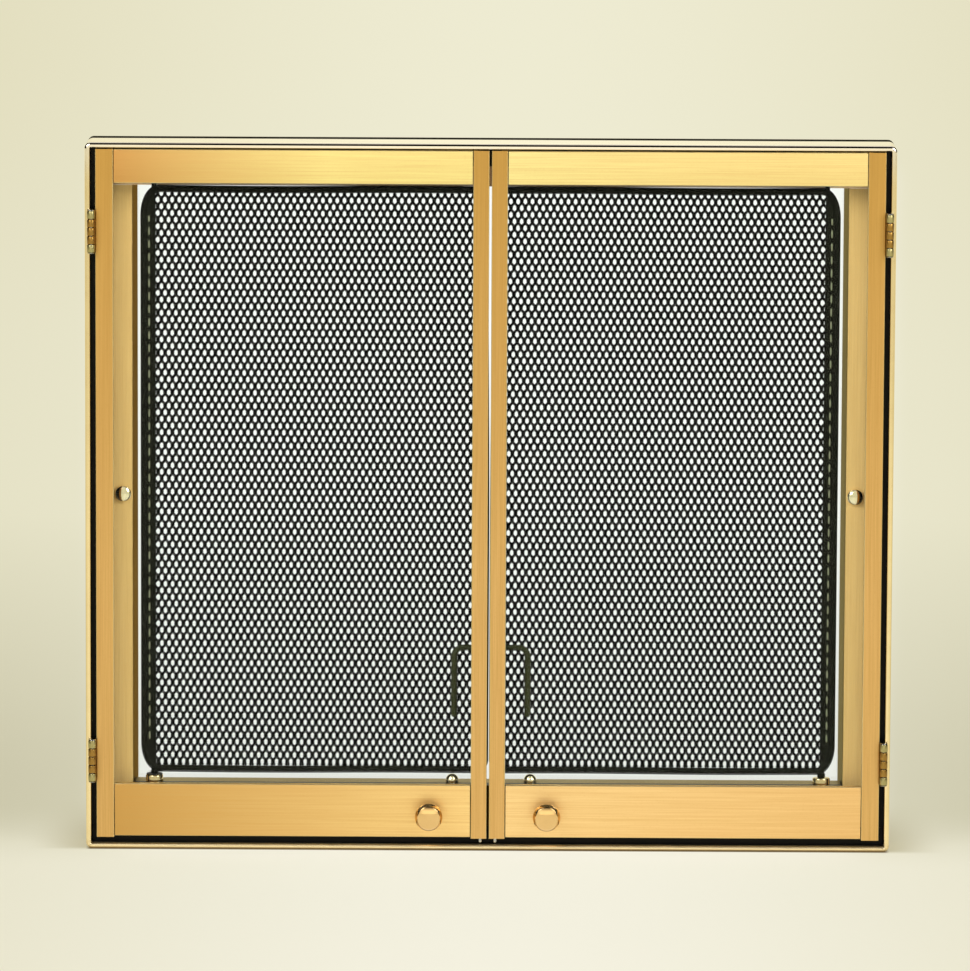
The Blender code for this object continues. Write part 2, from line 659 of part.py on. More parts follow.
def net_tiles(x_low, x_high, z_low, z_high):
    """Diamonds, and the half and quarter diamonds at the edges, that fill a rectangle."""
    step_x = (x_high - x_low) / NET_COLUMNS
    step_z = (z_high - z_low) / NET_ROWS
    tiles = []
    last_i, last_j = 2 * NET_COLUMNS, 2 * NET_ROWS
    for i in range(last_i + 1):
        for j in range(last_j + 1):
            if (i + j) % 2:
                continue
            corners = [(i + 1, j), (i, j + 1), (i - 1, j), (i, j - 1)]
            if i in (0, last_i) and j in (0, last_j):
                corners.append((i, j))
            corners = [c for c in corners if 0 <= c[0] <= last_i and 0 <= c[1] <= last_j]
            mean = np.mean(corners, axis=0)
            corners.sort(key=lambda c: math.atan2(c[1] - mean[1], c[0] - mean[0]))
            tiles.append([(x_low + a * step_x / 2, z_low + b * step_z / 2) for a, b in corners])
    return tiles


def net_shape(sign, y_low, y_high):
    """Flat diamond net inside the rod ring with a wide hem along its outboard side."""
    outline = [tuple(p) for p in inset_outline(rod_path(sign), ROD_RADIUS + SEAT_GAP)]
    xs = [x for x, z in outline]
    zs = [z for x, z in outline]
    left, right = (NET_HEM, NET_BORDER) if sign < 0 else (NET_BORDER, NET_HEM)
    area = (min(xs) + left, max(xs) - right, min(zs) + NET_BORDER, max(zs) - NET_BORDER)
    index = {}
    points = []

    def number(point):
        key = (round(point[0], 7), round(point[1], 7))
        if key not in index:
            index[key] = len(points)
            points.append(point)
        return index[key]

    faces = []
    loops = [[number(p) for p in outline]]
    rim = set()
    for tile in net_tiles(*area):
        hole = [tuple(p) for p in inset_outline(tile, STRAND / 2)]
        outer = [number(p) for p in tile]
        inner = [number(p) for p in hole]
        loops.append(inner)
        for k in range(len(tile)):
            n = (k + 1) % len(tile)
            faces.append((outer[k], outer[n], inner[n], inner[k]))
        rim.update(outer)
    edge = [k for k in rim if on_edge(points[k], area)]
    middle = ((area[0] + area[1]) / 2, (area[2] + area[3]) / 2)
    turns = [math.atan2(z - middle[1], x - middle[0]) for x, z in points]
    faces += band_faces(sorted(loops[0], key=lambda k: turns[k]), sorted(edge, key=lambda k: turns[k]), turns)

    count = len(points)
    solid = [(x, y_low, z) for x, z in points] + [(x, y_high, z) for x, z in points]
    sides = faces + [tuple(k + count for k in face) for face in faces]
    for loop in loops:
        for a, b in zip(loop, loop[1:] + loop[:1]):
            sides.append((a, b, b + count, a + count))
    return solid, sides


def band_faces(outer, inner, turns):
    """Triangles between two loops that run round the same middle, joined in order of their angle."""
    faces = []
    i = j = 0
    while i < len(outer) or j < len(inner):
        a, b = outer[i % len(outer)], inner[j % len(inner)]
        next_outer = turns[outer[i + 1]] if i + 1 < len(outer) else turns[outer[0]] + 2 * math.pi
        next_inner = turns[inner[j + 1]] if j + 1 < len(inner) else turns[inner[0]] + 2 * math.pi
        if j == len(inner) or (i < len(outer) and next_outer < next_inner):
            faces.append((a, outer[(i + 1) % len(outer)], b))
            i += 1
        else:
            faces.append((a, inner[(j + 1) % len(inner)], b))
            j += 1
    return faces


def on_edge(point, area):
    """True where a point lies on the boundary of a rectangle."""
    x, z = point
    near = [abs(x - area[0]), abs(x - area[1]), abs(z - area[2]), abs(z - area[3])]
    return min(near) < 1e-7


def build_screen(side, sign, hinge):
    path = rod_path(sign)
    ring = tube_shape([(x, SCREEN_Y, z) for x, z in path], ROD_RADIUS, ROD_SIDES, closed=True)
    rod = piece(side + "_screen_rod", *ring, "olive_black_paint", hinge, smooth=True)

    pin_x = sign * PIVOT_X
    across = (CORNER_RUN - PIVOT_INSET) / CORNER_RUN
    dip = CORNER_RISE * (1 - math.sqrt(1 - across ** 2))
    bearing_top = SILL_HEIGHT + SEAT_GAP + BUSH_HEIGHT
    if side == "left":
        bearing_top += SEAT_GAP + WASHER_THICKNESS
    start = ROD_LOW + dip
    foot = [
        (PIVOT_RADIUS, SILL_HEIGHT + PIN_FOOT_GAP - start),
        (PIVOT_RADIUS, bearing_top + SEAT_GAP - start),
        (COLLAR_RADIUS, bearing_top + SEAT_GAP - start),
        (COLLAR_RADIUS, ROD_LOW - start),
        (PIVOT_RADIUS, ROD_LOW - start),
        (PIVOT_RADIUS, 0.0),
    ]
    shape = turned_shape(foot, (pin_x, SCREEN_Y, start), (0, 0, 1), BARREL_SIDES)
    lower = helper(side + "_lower_pin", *shape, hinge)
    combine(rod, lower, "UNION")
    start = ROD_HIGH - dip
    end = BRACKET_FOOT + BRACKET_THICKNESS + PIN_ABOVE_BRACKET - start
    head = [(PIVOT_RADIUS, 0.0), (PIVOT_RADIUS, end)]
    shape = turned_shape(head, (pin_x, SCREEN_Y, start), (0, 0, 1), BARREL_SIDES)
    upper = helper(side + "_upper_pin", *shape, hinge)
    combine(rod, upper, "UNION")

    net = net_shape(sign, SCREEN_Y - NET_THICKNESS / 2, SCREEN_Y + NET_THICKNESS / 2)
    piece(side + "_screen_net", *net, "olive_black_paint", hinge)
    build_handle(side, sign, hinge)


def build_handle(side, sign, hinge):
    """Bent rod in front of the net: out from the inner upright, then down."""
    y = SCREEN_Y - NET_THICKNESS / 2 - SEAT_GAP - HANDLE_RADIUS
    start = ROD_INNER + ROD_RADIUS + SEAT_GAP
    drop = HANDLE_FROM_CENTRE[side]
    foot = HANDLE_TOP - HANDLE_LENGTH
    path = [(start, HANDLE_TOP)]
    path += arc(drop - HANDLE_BEND, HANDLE_TOP - HANDLE_BEND, HANDLE_BEND, HANDLE_BEND, 90, 0, 6)
    path += [(drop, foot)]
    path = [(sign * x, y, z) for x, z in path]
    shape = tube_shape(path, HANDLE_RADIUS, HANDLE_SIDES)
    piece(side + "_screen_handle", *shape, "olive_black_paint", hinge, smooth=True)


def ring_shape(outer, inner, low, high, centre, sides):
    """Flat ring about a vertical axis."""
    rings = []
    for a in np.arange(sides) * 2 * math.pi / sides:
        loop = []
        for radius, z in ((outer, low), (outer, high), (inner, high), (inner, low)):
            loop.append((centre[0] + radius * math.cos(a), centre[1] + radius * math.sin(a), z))
        rings.append(loop)
    return sweep_shape(rings, closed=True)


def build_bearings():
    bore = PIVOT_RADIUS + PIVOT_PLAY
    for side, sign in SIDES.items():
        centre = (sign * PIVOT_X, SCREEN_Y)
        low = SILL_HEIGHT + SEAT_GAP
        bush = ring_shape(BUSH_RADIUS, bore, low, low + BUSH_HEIGHT, centre, ROUND_SIDES)
        piece(side + "_pivot_bush", *bush, "polished_brass", smooth=True)
        back = JAMB_FRONT - SEAT_GAP
        nose = SCREEN_Y - BRACKET_NOSE
        leg = back - BRACKET_THICKNESS
        foot = BRACKET_FOOT
        step = foot + BRACKET_THICKNESS
        top = foot + BRACKET_HEIGHT
        outline = [(nose, foot), (back, foot), (back, top), (leg, top), (leg, step), (nose, step)]
        ends = (centre[0] - BRACKET_WIDTH / 2, centre[0] + BRACKET_WIDTH / 2)
        body = piece(side + "_pivot_bracket", *prism_x(outline, *ends), "steel")
        hole = [(bore, -BRACKET_THICKNESS), (bore, 2 * BRACKET_THICKNESS)]
        drill = turned_shape(hole, (*centre, foot), (0, 0, 1), BARREL_SIDES)
        combine(body, helper(side + "_bracket_hole", *drill), "DIFFERENCE")
    low += BUSH_HEIGHT + SEAT_GAP
    centre = (-PIVOT_X, SCREEN_Y)
    washer = ring_shape(WASHER_RADIUS, bore, low, low + WASHER_THICKNESS, centre, ROUND_SIDES)
    piece("left_pivot_washer", *washer, "black_paint", smooth=True)


# Hearth brackets
def build_feet():
    front = FRONT + SILL_BACK + SEAT_GAP
    low = LINER_INNER + SEAT_GAP
    top = low + FOOT_HEIGHT
    step = low + FOOT_THICKNESS
    leg = front + FOOT_THICKNESS
    outline = [(front, low), (BACK, low), (BACK, step), (leg, step), (leg, top), (front, top)]
    for side, sign in SIDES.items():
        x = sign * (HALF_WIDTH - FOOT_FROM_SIDE)
        shape = prism_x(outline, x - FOOT_WIDTH / 2, x + FOOT_WIDTH / 2)
        body = piece(side + "_hearth_bracket", *shape, "steel")
        hole = [(FOOT_HOLE_RADIUS, -FOOT_THICKNESS), (FOOT_HOLE_RADIUS, 2 * FOOT_THICKNESS)]
        centre = (x, (leg + BACK) / 2, low)
        drill = helper(side + "_hearth_screw_hole", *turned_shape(hole, centre, (0, 0, 1), BARREL_SIDES))
        combine(body, drill, "DIFFERENCE")


def build():
    clear_scene()
    build_frame()
    build_liner()
    build_surround()
    build_buttons()
    build_bearings()
    build_feet()
    for side, sign in SIDES.items():
        door_pivot = pivot(side + "_door_pivot", sign * HINGE_X, HINGE_Y)
        build_door(side, sign, door_pivot)
        build_hinge(side + "_upper_hinge", sign, FRAME_HEIGHT - BEAD_WIDTH - UPPER_HINGE_FROM_TOP, door_pivot)
        build_hinge(side + "_lower_hinge", sign, DOOR_FOOT + LOWER_HINGE_FROM_FOOT, door_pivot)
        screen_pivot = pivot(side + "_screen_pivot", sign * PIVOT_X, SCREEN_Y)
        build_screen(side, sign, screen_pivot)


build()
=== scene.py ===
"""A brass fireplace enclosure: glass doors in front, swinging mesh screens behind them.

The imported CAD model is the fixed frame. Each section below makes one group of real pieces.
"""
import math

import bmesh
import bpy
import numpy as np
from mathutils import Matrix, Vector


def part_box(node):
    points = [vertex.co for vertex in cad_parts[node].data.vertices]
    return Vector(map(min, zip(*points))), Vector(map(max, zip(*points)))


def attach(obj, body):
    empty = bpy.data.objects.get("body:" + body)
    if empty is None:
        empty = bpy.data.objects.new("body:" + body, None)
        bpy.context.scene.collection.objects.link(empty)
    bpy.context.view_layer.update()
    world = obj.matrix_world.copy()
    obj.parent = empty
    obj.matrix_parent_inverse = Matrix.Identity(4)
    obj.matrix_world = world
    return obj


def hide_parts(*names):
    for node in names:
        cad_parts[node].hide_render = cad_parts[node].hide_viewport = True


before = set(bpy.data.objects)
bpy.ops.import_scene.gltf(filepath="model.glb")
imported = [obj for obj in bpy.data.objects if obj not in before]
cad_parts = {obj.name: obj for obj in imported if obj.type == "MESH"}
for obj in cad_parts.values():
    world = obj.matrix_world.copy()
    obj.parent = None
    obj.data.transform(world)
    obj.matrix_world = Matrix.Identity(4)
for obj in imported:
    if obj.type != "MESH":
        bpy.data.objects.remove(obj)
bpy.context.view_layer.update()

MM = 0.001
SIDES = (("left", -1), ("right", 1))


# The camera stands 8 m in front at a height of 1.5 m, tilted down by 8 degrees, with a long lens, so
# that upright edges come out almost parallel, as in the photograph.
VIEW_DISTANCE = 8.0
VIEW_HEIGHT = 1.51
camera = bpy.data.objects.new("studio_camera", bpy.data.cameras.new("studio_camera"))
camera.data.lens = 279.4
right = (0.99998597, 0.00235749, 0.00474419)
up = (-0.00502464, 0.13829404, 0.99037847)
back = (0.00167872, -0.99038841, 0.13830394)
place = (0.009, -VIEW_DISTANCE, VIEW_HEIGHT)
camera.matrix_world = Matrix([(*row, p) for row, p in zip(zip(right, up, back), place)] + [(0, 0, 0, 1)])
bpy.context.scene.collection.objects.link(camera)
bpy.context.scene.camera = camera
bpy.context.scene.view_settings.view_transform = "Standard"


# Studio floor and backdrop: one sheet of cream paper, 28 m wide, that runs back and curves up behind the
# piece. To the camera, and in metal and glass, it glows mostly with its own colour, which is painted with
# light and shade: brighter behind the piece, and shaded near its foot.
def linear(code):
    """Linear RGBA of an sRGB hex colour: each channel is raised along the sRGB curve."""
    srgb = np.array([int(code[i:i + 2], 16) for i in (1, 3, 5)]) / 255
    rgb = np.where(srgb <= 0.04045, srgb / 12.92, ((srgb + 0.055) / 1.055) ** 2.4)
    return (*rgb.tolist(), 1.0)


def add(tree, kind, inputs=(), **settings):
    """One shader node. Settings are its own properties; inputs are values or the outputs that feed it."""
    made = tree.nodes.new("ShaderNode" + kind)
    for name, value in settings.items():
        setattr(made, name, value)
    for socket, value in dict(inputs).items():
        if isinstance(value, bpy.types.NodeSocket):
            tree.links.new(value, made.inputs[socket])
        else:
            made.inputs[socket].default_value = value
    return made


def maths(tree, operation, *values):
    """Result of a Math node on numbers or sockets."""
    return add(tree, "Math", dict(enumerate(values)), operation=operation).outputs[0]


def ramp(tree, value, low, high, first=0.0, second=1.0):
    """Number that goes from first to second while a value runs from low to high."""
    return add(tree, "MapRange", {0: value, 1: low, 2: high, 3: first, 4: second}).outputs[0]


def mix(tree, part, first, second):
    """Colour that is first where part is 0 and second where it is 1."""
    return add(tree, "Mix", {"Factor": part, 6: first, 7: second}, data_type="RGBA").outputs[2]


def blend(tree, value, low, high, first, second):
    """Colour that passes smoothly from first to second while a value runs from low to high."""
    part = add(tree, "MapRange", {0: value, 1: low, 2: high}, interpolation_type="SMOOTHSTEP")
    return mix(tree, part.outputs[0], first, second)


def new_material(name):
    """Empty node tree with its output node."""
    made = bpy.data.materials.new(name)
    made.use_nodes = True
    made.node_tree.nodes.clear()
    return made, made.node_tree, made.node_tree.nodes.new("ShaderNodeOutputMaterial")


def paper_sweep():
    """Profile of the sheet in y and z, level, then a quarter circle, then upright, carried along x."""
    turn = np.radians(np.linspace(-90, 0, 24))
    y = np.concatenate([[-14.0], 15.0 + 2.0 * np.cos(turn), [17.0]])
    z = np.concatenate([[0.0], 2.0 + 2.0 * np.sin(turn), [8.0]])
    x = np.array([-14.0, 14.0])
    grid = np.stack(np.broadcast_arrays(x[None, :], y[:, None], z[:, None]), axis=-1)
    rows = np.arange(len(y) - 1) * 2
    faces = np.stack([rows, rows + 1, rows + 3, rows + 2], axis=1)
    return grid.reshape(-1, 3), faces


def mesh_object(name, points, faces):
    """Mesh object at the origin from an array of points and faces of any length."""
    mesh = bpy.data.meshes.new(name)
    mesh.from_pydata(np.asarray(points).tolist(), [], [list(map(int, f)) for f in faces])
    made = bpy.data.objects.new(name, mesh)
    bpy.context.scene.collection.objects.link(made)
    return made


paper = mesh_object("paper_sweep", *paper_sweep())
paper.data.shade_smooth()

# The paper's colour, painted with light and shade. Its tones are fixed on the paper and spread in a fan
# from the photograph's viewpoint: across it and down it, distances grow with depth. Painted light makes it
# palest behind the piece and changes its tone across and down it; painted shade lies beside its foot, and a
# painted shadow makes it darkest in a line under its front.
cream, tree, out = new_material("cream_paper")
spot = add(tree, "SeparateXYZ", {0: add(tree, "TexCoord").outputs["Object"]}).outputs
depth = maths(tree, "ADD", spot["Y"], VIEW_DISTANCE)
across = maths(tree, "DIVIDE", spot["X"], depth)
aside = maths(tree, "ABSOLUTE", maths(tree, "SUBTRACT", across, 0.0045))
across = maths(tree, "ABSOLUTE", across)
down = maths(tree, "DIVIDE", maths(tree, "SUBTRACT", VIEW_HEIGHT, spot["Z"]), depth)
far = blend(tree, down, 0.080, 0.125, linear("#dfdaba"), linear("#e2dec2"))
far = blend(tree, down, 0.138, 0.185, far, linear("#cdc8a8"))
tone = blend(tree, aside, 0.0, 0.099, linear("#ece9d0"), far)
# Painted pool of light: the paper is whitest behind the opening.
painted_light_patch = blend(tree, across, 0.056, 0.044, tone, linear("#fffffb"))
tone = blend(tree, down, 0.095, 0.099, tone, painted_light_patch)
floor = blend(tree, aside, 0.0, 0.099, linear("#faf7e6"), linear("#ebe7cd"))
tone = blend(tree, down, 0.183, 0.192, tone, floor)
wide = maths(tree, "ABSOLUTE", spot["X"])
# Painted shade on the floor beside the frame's foot.
shade = blend(tree, wide, 0.425, 0.50, linear("#c9c2a2"), tone)
shade = blend(tree, wide, 0.36, 0.42, tone, shade)
shade = blend(tree, spot["Y"], -0.035, -0.015, tone, shade)
# Painted shadow: a dark line on the floor just under the frame's front.
painted_shadow_line = blend(tree, wide, 0.427, 0.433, linear("#5b472a"), shade)
shade = blend(tree, spot["Y"], -0.0290, -0.0255, shade, painted_shadow_line)
tone = blend(tree, spot["Y"], 0.05, 0.30, shade, tone)
rays = add(tree, "LightPath").outputs
seen = maths(tree, "MAXIMUM", rays["Is Camera Ray"], rays["Is Glossy Ray"])
seen = maths(tree, "MAXIMUM", seen, rays["Is Transmission Ray"])
share = maths(tree, "MULTIPLY", seen, ramp(tree, spot["Y"], 0.4, 2.5, 0.8, 1.0))
# Painted reflection: in metal and glass the paper glows about 15 % brighter than it looks to the camera.
power = maths(tree, "MULTIPLY_ADD", rays["Is Glossy Ray"], 0.15, 1.02)
matt = add(tree, "BsdfDiffuse", {"Color": linear("#e9e5d0")})
glow = add(tree, "Emission", {"Color": tone, "Strength": power})
both = add(tree, "MixShader", {0: share, 1: matt.outputs[0], 2: glow.outputs[0]})
tree.links.new(both.outputs[0], out.inputs["Surface"])
paper.data.materials.append(cream)

# Light: a dark studio with a pale wall behind the camera, and large soft boxes. The dark between them
# draws the black lines along every polished round edge. The background itself stays pale.
world = bpy.data.worlds.new("studio_room")
world.use_nodes = True
bpy.context.scene.world = world
tree = world.node_tree
tree.nodes.clear()
out = tree.nodes.new("ShaderNodeOutputWorld")
way = add(tree, "SeparateXYZ", {0: add(tree, "TexCoord").outputs["Generated"]}).outputs
aside = maths(tree, "MULTIPLY", maths(tree, "ABSOLUTE", way["X"]), 0.55)
away = maths(tree, "MAXIMUM", aside, way["Z"])
tone = blend(tree, away, 0.12, 0.34, linear("#fffae8"), linear("#15130f"))
room = add(tree, "Background", {"Color": tone, "Strength": 1.5})
rays = add(tree, "LightPath").outputs
seen = maths(tree, "MAXIMUM", rays["Is Camera Ray"], rays["Is Transmission Ray"])
pale = add(tree, "Background", {"Color": linear("#e6e2cc"), "Strength": 1.0})
both = add(tree, "MixShader", {0: seen, 1: room.outputs[0], 2: pale.outputs[0]})
tree.links.new(both.outputs[0], out.inputs["Surface"])


def soft_box(name, size, watts, at, towards):
    """Area lamp of a given width and height, turned to face a point."""
    lamp = bpy.data.lights.new(name, "AREA")
    lamp.shape = "RECTANGLE"
    lamp.size, lamp.size_y = size
    lamp.energy = watts
    made = bpy.data.objects.new(name, lamp)
    turn = (Vector(towards) - Vector(at)).to_track_quat("-Z", "Y").to_matrix().to_4x4()
    made.matrix_world = Matrix.Translation(at) @ turn
    bpy.context.scene.collection.objects.link(made)


soft_box("left_soft_box", (1.8, 1.8), 66, (-1.9, -2.3, 2.3), (0, 0, 0.4))
soft_box("right_soft_box", (1.6, 2.0), 60, (2.1, -2.0, 2.0), (0.1, 0, 0.4))
soft_box("overhead_soft_box", (3.0, 1.8), 14, (0, 1.6, 2.8), (0, 0.9, 0))


# Outer frame: sheet brass, drawn into a narrow bead along the front and folded back as a skin round
# the steel liner, mitred and soldered at the corners, buffed to a mirror and lacquered.
def closed_strips(rows, columns, loop):
    """Quads of a rows by columns grid of points whose columns close on themselves; rows may close too."""
    i = np.arange(rows if loop else rows - 1)[:, None]
    j = np.arange(columns)[None, :]
    k = (j + 1) % columns
    n = (i + 1) % rows
    corners = [i * columns + j, i * columns + k, n * columns + k, n * columns + j]
    return np.stack(corners, axis=-1).reshape(-1, 4)


def carried(profiles, loop=False):
    """Shape through a stack of equal closed profiles; an open stack gets a flat cap at each end."""
    rows, columns = profiles.shape[:2]
    faces = closed_strips(rows, columns, loop).tolist()
    if not loop:
        faces += [list(range(columns)), list(range((rows - 1) * columns, rows * columns))]
    return profiles.reshape(-1, 3), faces


def piece(name, shapes, material, body, replaces=(), crease=30):
    """One piece of the object: its shapes in one mesh, faces outwards, creased where they turn sharply."""
    if isinstance(shapes, tuple):
        shapes = [shapes]
    starts = np.cumsum([0] + [len(p) for p, f in shapes])
    points = np.concatenate([p for p, f in shapes])
    faces = [[int(k) + int(s) for k in face] for s, (p, fs) in zip(starts, shapes) for face in fs]
    made = mesh_object(name, points, faces)
    work = bmesh.new()
    work.from_mesh(made.data)
    bmesh.ops.recalc_face_normals(work, faces=work.faces)
    work.to_mesh(made.data)
    work.free()
    made.data.shade_smooth()
    made.data.set_sharp_from_angle(angle=math.radians(crease))
    made.data.materials.append(material)
    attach(made, body)
    if replaces:
        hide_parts(*replaces)
    return made


def polished_brass(name, colour):
    """Buffed, lacquered brass: mirror-like, with faint waves from the buffing wheel and clouds of tarnish."""
    made, tree, out = new_material(name)
    place = add(tree, "TexCoord").outputs["Object"]
    cloud = add(tree, "TexNoise", {"Vector": place, "Scale": 45.0, "Detail": 4.0, "Roughness": 0.6})
    tarnish = ramp(tree, cloud.outputs[0], 0.4, 0.8, 0.0, 0.14)
    base = mix(tree, tarnish, linear(colour), linear("#c2944e"))
    gloss = ramp(tree, cloud.outputs[0], 0.3, 0.8, 0.05, 0.14)
    wave = add(tree, "TexNoise", {"Vector": place, "Scale": 160.0, "Detail": 2.0})
    bump = add(tree, "Bump", {"Height": wave.outputs[0], "Strength": 0.05, "Distance": 0.0004})
    shader = add(tree, "BsdfPrincipled", {
        "Base Color": base, "Metallic": 1.0, "Roughness": gloss, "Normal": bump.outputs[0]})
    tree.links.new(shader.outputs[0], out.inputs["Surface"])
    return made


bright_brass = polished_brass("polished_brass", "#fbefd0")

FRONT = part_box("frame_left")[0][1]
HALF_WIDTH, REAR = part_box("frame_right")[1][:2]
DEPTH = REAR - FRONT
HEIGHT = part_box("frame_top")[1][2]
CORNER_RADIUS = 6.5 * MM
MITRE_GAP = 0.12 * MM
BEAD = 5.8 * MM
WRAP = 2.0 * MM
DARK_REAR_STRIP = 23.0 * MM


def rear_strip_shade_and_highlight(made):
    """The rear strip of the skin is olive black and not metallic, and so, as painted shade, is all that faces
    the liner. The top member is paler than the others, a painted highlight, and the bottom member is duller."""
    tree = made.node_tree
    shader = tree.nodes["Principled BSDF"]
    shader.inputs["Specular IOR Level"].default_value = 0.03
    place = add(tree, "SeparateXYZ", {0: add(tree, "TexCoord").outputs["Object"]}).outputs
    dark_from = REAR - DARK_REAR_STRIP
    rear = ramp(tree, place["Y"], dark_from, dark_from + 0.6 * MM)
    beside = maths(tree, "SUBTRACT", HALF_WIDTH, maths(tree, "ABSOLUTE", place["X"]))
    below = maths(tree, "SUBTRACT", HEIGHT, place["Z"])
    deep = maths(tree, "MINIMUM", maths(tree, "MINIMUM", below, place["Z"]), beside)
    inside = ramp(tree, deep, 1.92 * MM, 1.97 * MM)
    behind = ramp(tree, place["Y"], FRONT + 5.0 * MM, FRONT + 6.0 * MM)
    # Painted shade: faces behind the bead that look into the gap are olive black too.
    dark_rear_and_shade = maths(tree, "MAXIMUM", rear, maths(tree, "MULTIPLY", inside, behind))
    plain = shader.inputs["Base Color"].links[0].from_socket
    # Painted highlight: the top member's colour is paler.
    plain = blend(tree, below, 0.05, 0.0, plain, linear("#fff4e2"))
    gloss = shader.inputs["Roughness"].links[0].from_socket
    gloss = maths(tree, "MULTIPLY_ADD", dark_rear_and_shade, 0.7, gloss)
    worn = ramp(tree, place["Z"], 12.0 * MM, 7.0 * MM, 0.0, 0.3)
    tree.links.new(mix(tree, dark_rear_and_shade, plain, linear("#241f0e")), shader.inputs["Base Color"])
    tree.links.new(maths(tree, "SUBTRACT", 1.0, dark_rear_and_shade), shader.inputs["Metallic"])
    tree.links.new(maths(tree, "ADD", gloss, worn), shader.inputs["Roughness"])
    return made


frame_brass = rear_strip_shade_and_highlight(polished_brass("frame_brass", "#f9e3b2"))


def bead_section():
    """(inward, back) outline: half-round bead in front, its folded edge, then the skin to the back."""
    turn = np.radians(np.linspace(180, 0, 19))
    bead = np.stack([BEAD / 2 * (1 + np.cos(turn)), BEAD / 2 * (1 - np.sin(turn))], axis=1)
    rest = np.array([(BEAD, 8.5 * MM), (WRAP, 8.5 * MM), (WRAP, DEPTH), (0.0, DEPTH)])
    return np.concatenate([bead, rest])


def frame_member(middle):
    """The section turned through half a corner at each end of a member; the mitred ends stand apart."""
    section = bead_section()
    stacks = []
    for end in (middle - 45, middle + 45):
        corner = math.radians(end)
        towards = math.copysign(1, middle - end)
        turn = (corner + towards * np.radians(np.linspace(0, 45, 7)))[:, None]
        slip = np.array([towards * MITRE_GAP] + [0.0] * 6)[:, None]
        centre_x = (HALF_WIDTH - CORNER_RADIUS) * math.copysign(1, math.cos(corner))
        centre_z = HEIGHT / 2 + (HEIGHT / 2 - CORNER_RADIUS) * math.copysign(1, math.sin(corner))
        reach = CORNER_RADIUS - section[None, :, 0]
        x = centre_x + reach * np.cos(turn) - slip * np.sin(turn)
        z = centre_z + reach * np.sin(turn) + slip * np.cos(turn)
        y = np.broadcast_to(FRONT + section[None, :, 1], x.shape)
        stacks.append(np.stack([x, y, z], axis=-1))
    return carried(np.concatenate([stacks[0], stacks[1][::-1]]))


for member, middle in (("top", 90), ("left", 180), ("bottom", 270), ("right", 360)):
    piece("bead_" + member, frame_member(middle), frame_brass, "frame", ["frame_" + member])


# Liner: folded steel strip inside the skin, sprayed matt black; its flange is the doors' stop.
def stove_paint(name, colour, dust, rough, sheen=0.2):
    """Matt stove paint: near black, slightly grainy, greyer where dust lies."""
    made, tree, out = new_material(name)
    place = add(tree, "TexCoord").outputs["Object"]
    grain = add(tree, "TexNoise", {"Vector": place, "Scale": 900.0, "Detail": 3.0, "Roughness": 0.7})
    patch = add(tree, "TexNoise", {"Vector": place, "Scale": 30.0, "Detail": 5.0})
    base = mix(tree, ramp(tree, patch.outputs[0], 0.45, 0.8, 0.0, 0.5), linear(colour), linear(dust))
    dull = ramp(tree, grain.outputs[0], 0.3, 0.7, rough - 0.08, rough + 0.1)
    bump = add(tree, "Bump", {"Height": grain.outputs[0], "Strength": 0.25, "Distance": 0.0003})
    shader = add(tree, "BsdfPrincipled", {
        "Base Color": base, "Roughness": dull, "Normal": bump.outputs[0], "Specular IOR Level": sheen})
    tree.links.new(shader.outputs[0], out.inputs["Surface"])
    return made


matt_black = stove_paint("matt_black_paint", "#0f0e0c", "#1d1b17", 0.55)


def finish_node(node, material):
    """Puts a material in every slot of a CAD node."""
    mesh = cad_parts[node].data
    if not mesh.materials:
        mesh.materials.append(material)
    for i in range(len(mesh.materials)):
        mesh.materials[i] = material


for member in ("liner_top", "liner_bottom", "liner_left", "liner_right"):
    finish_node(member, matt_black)


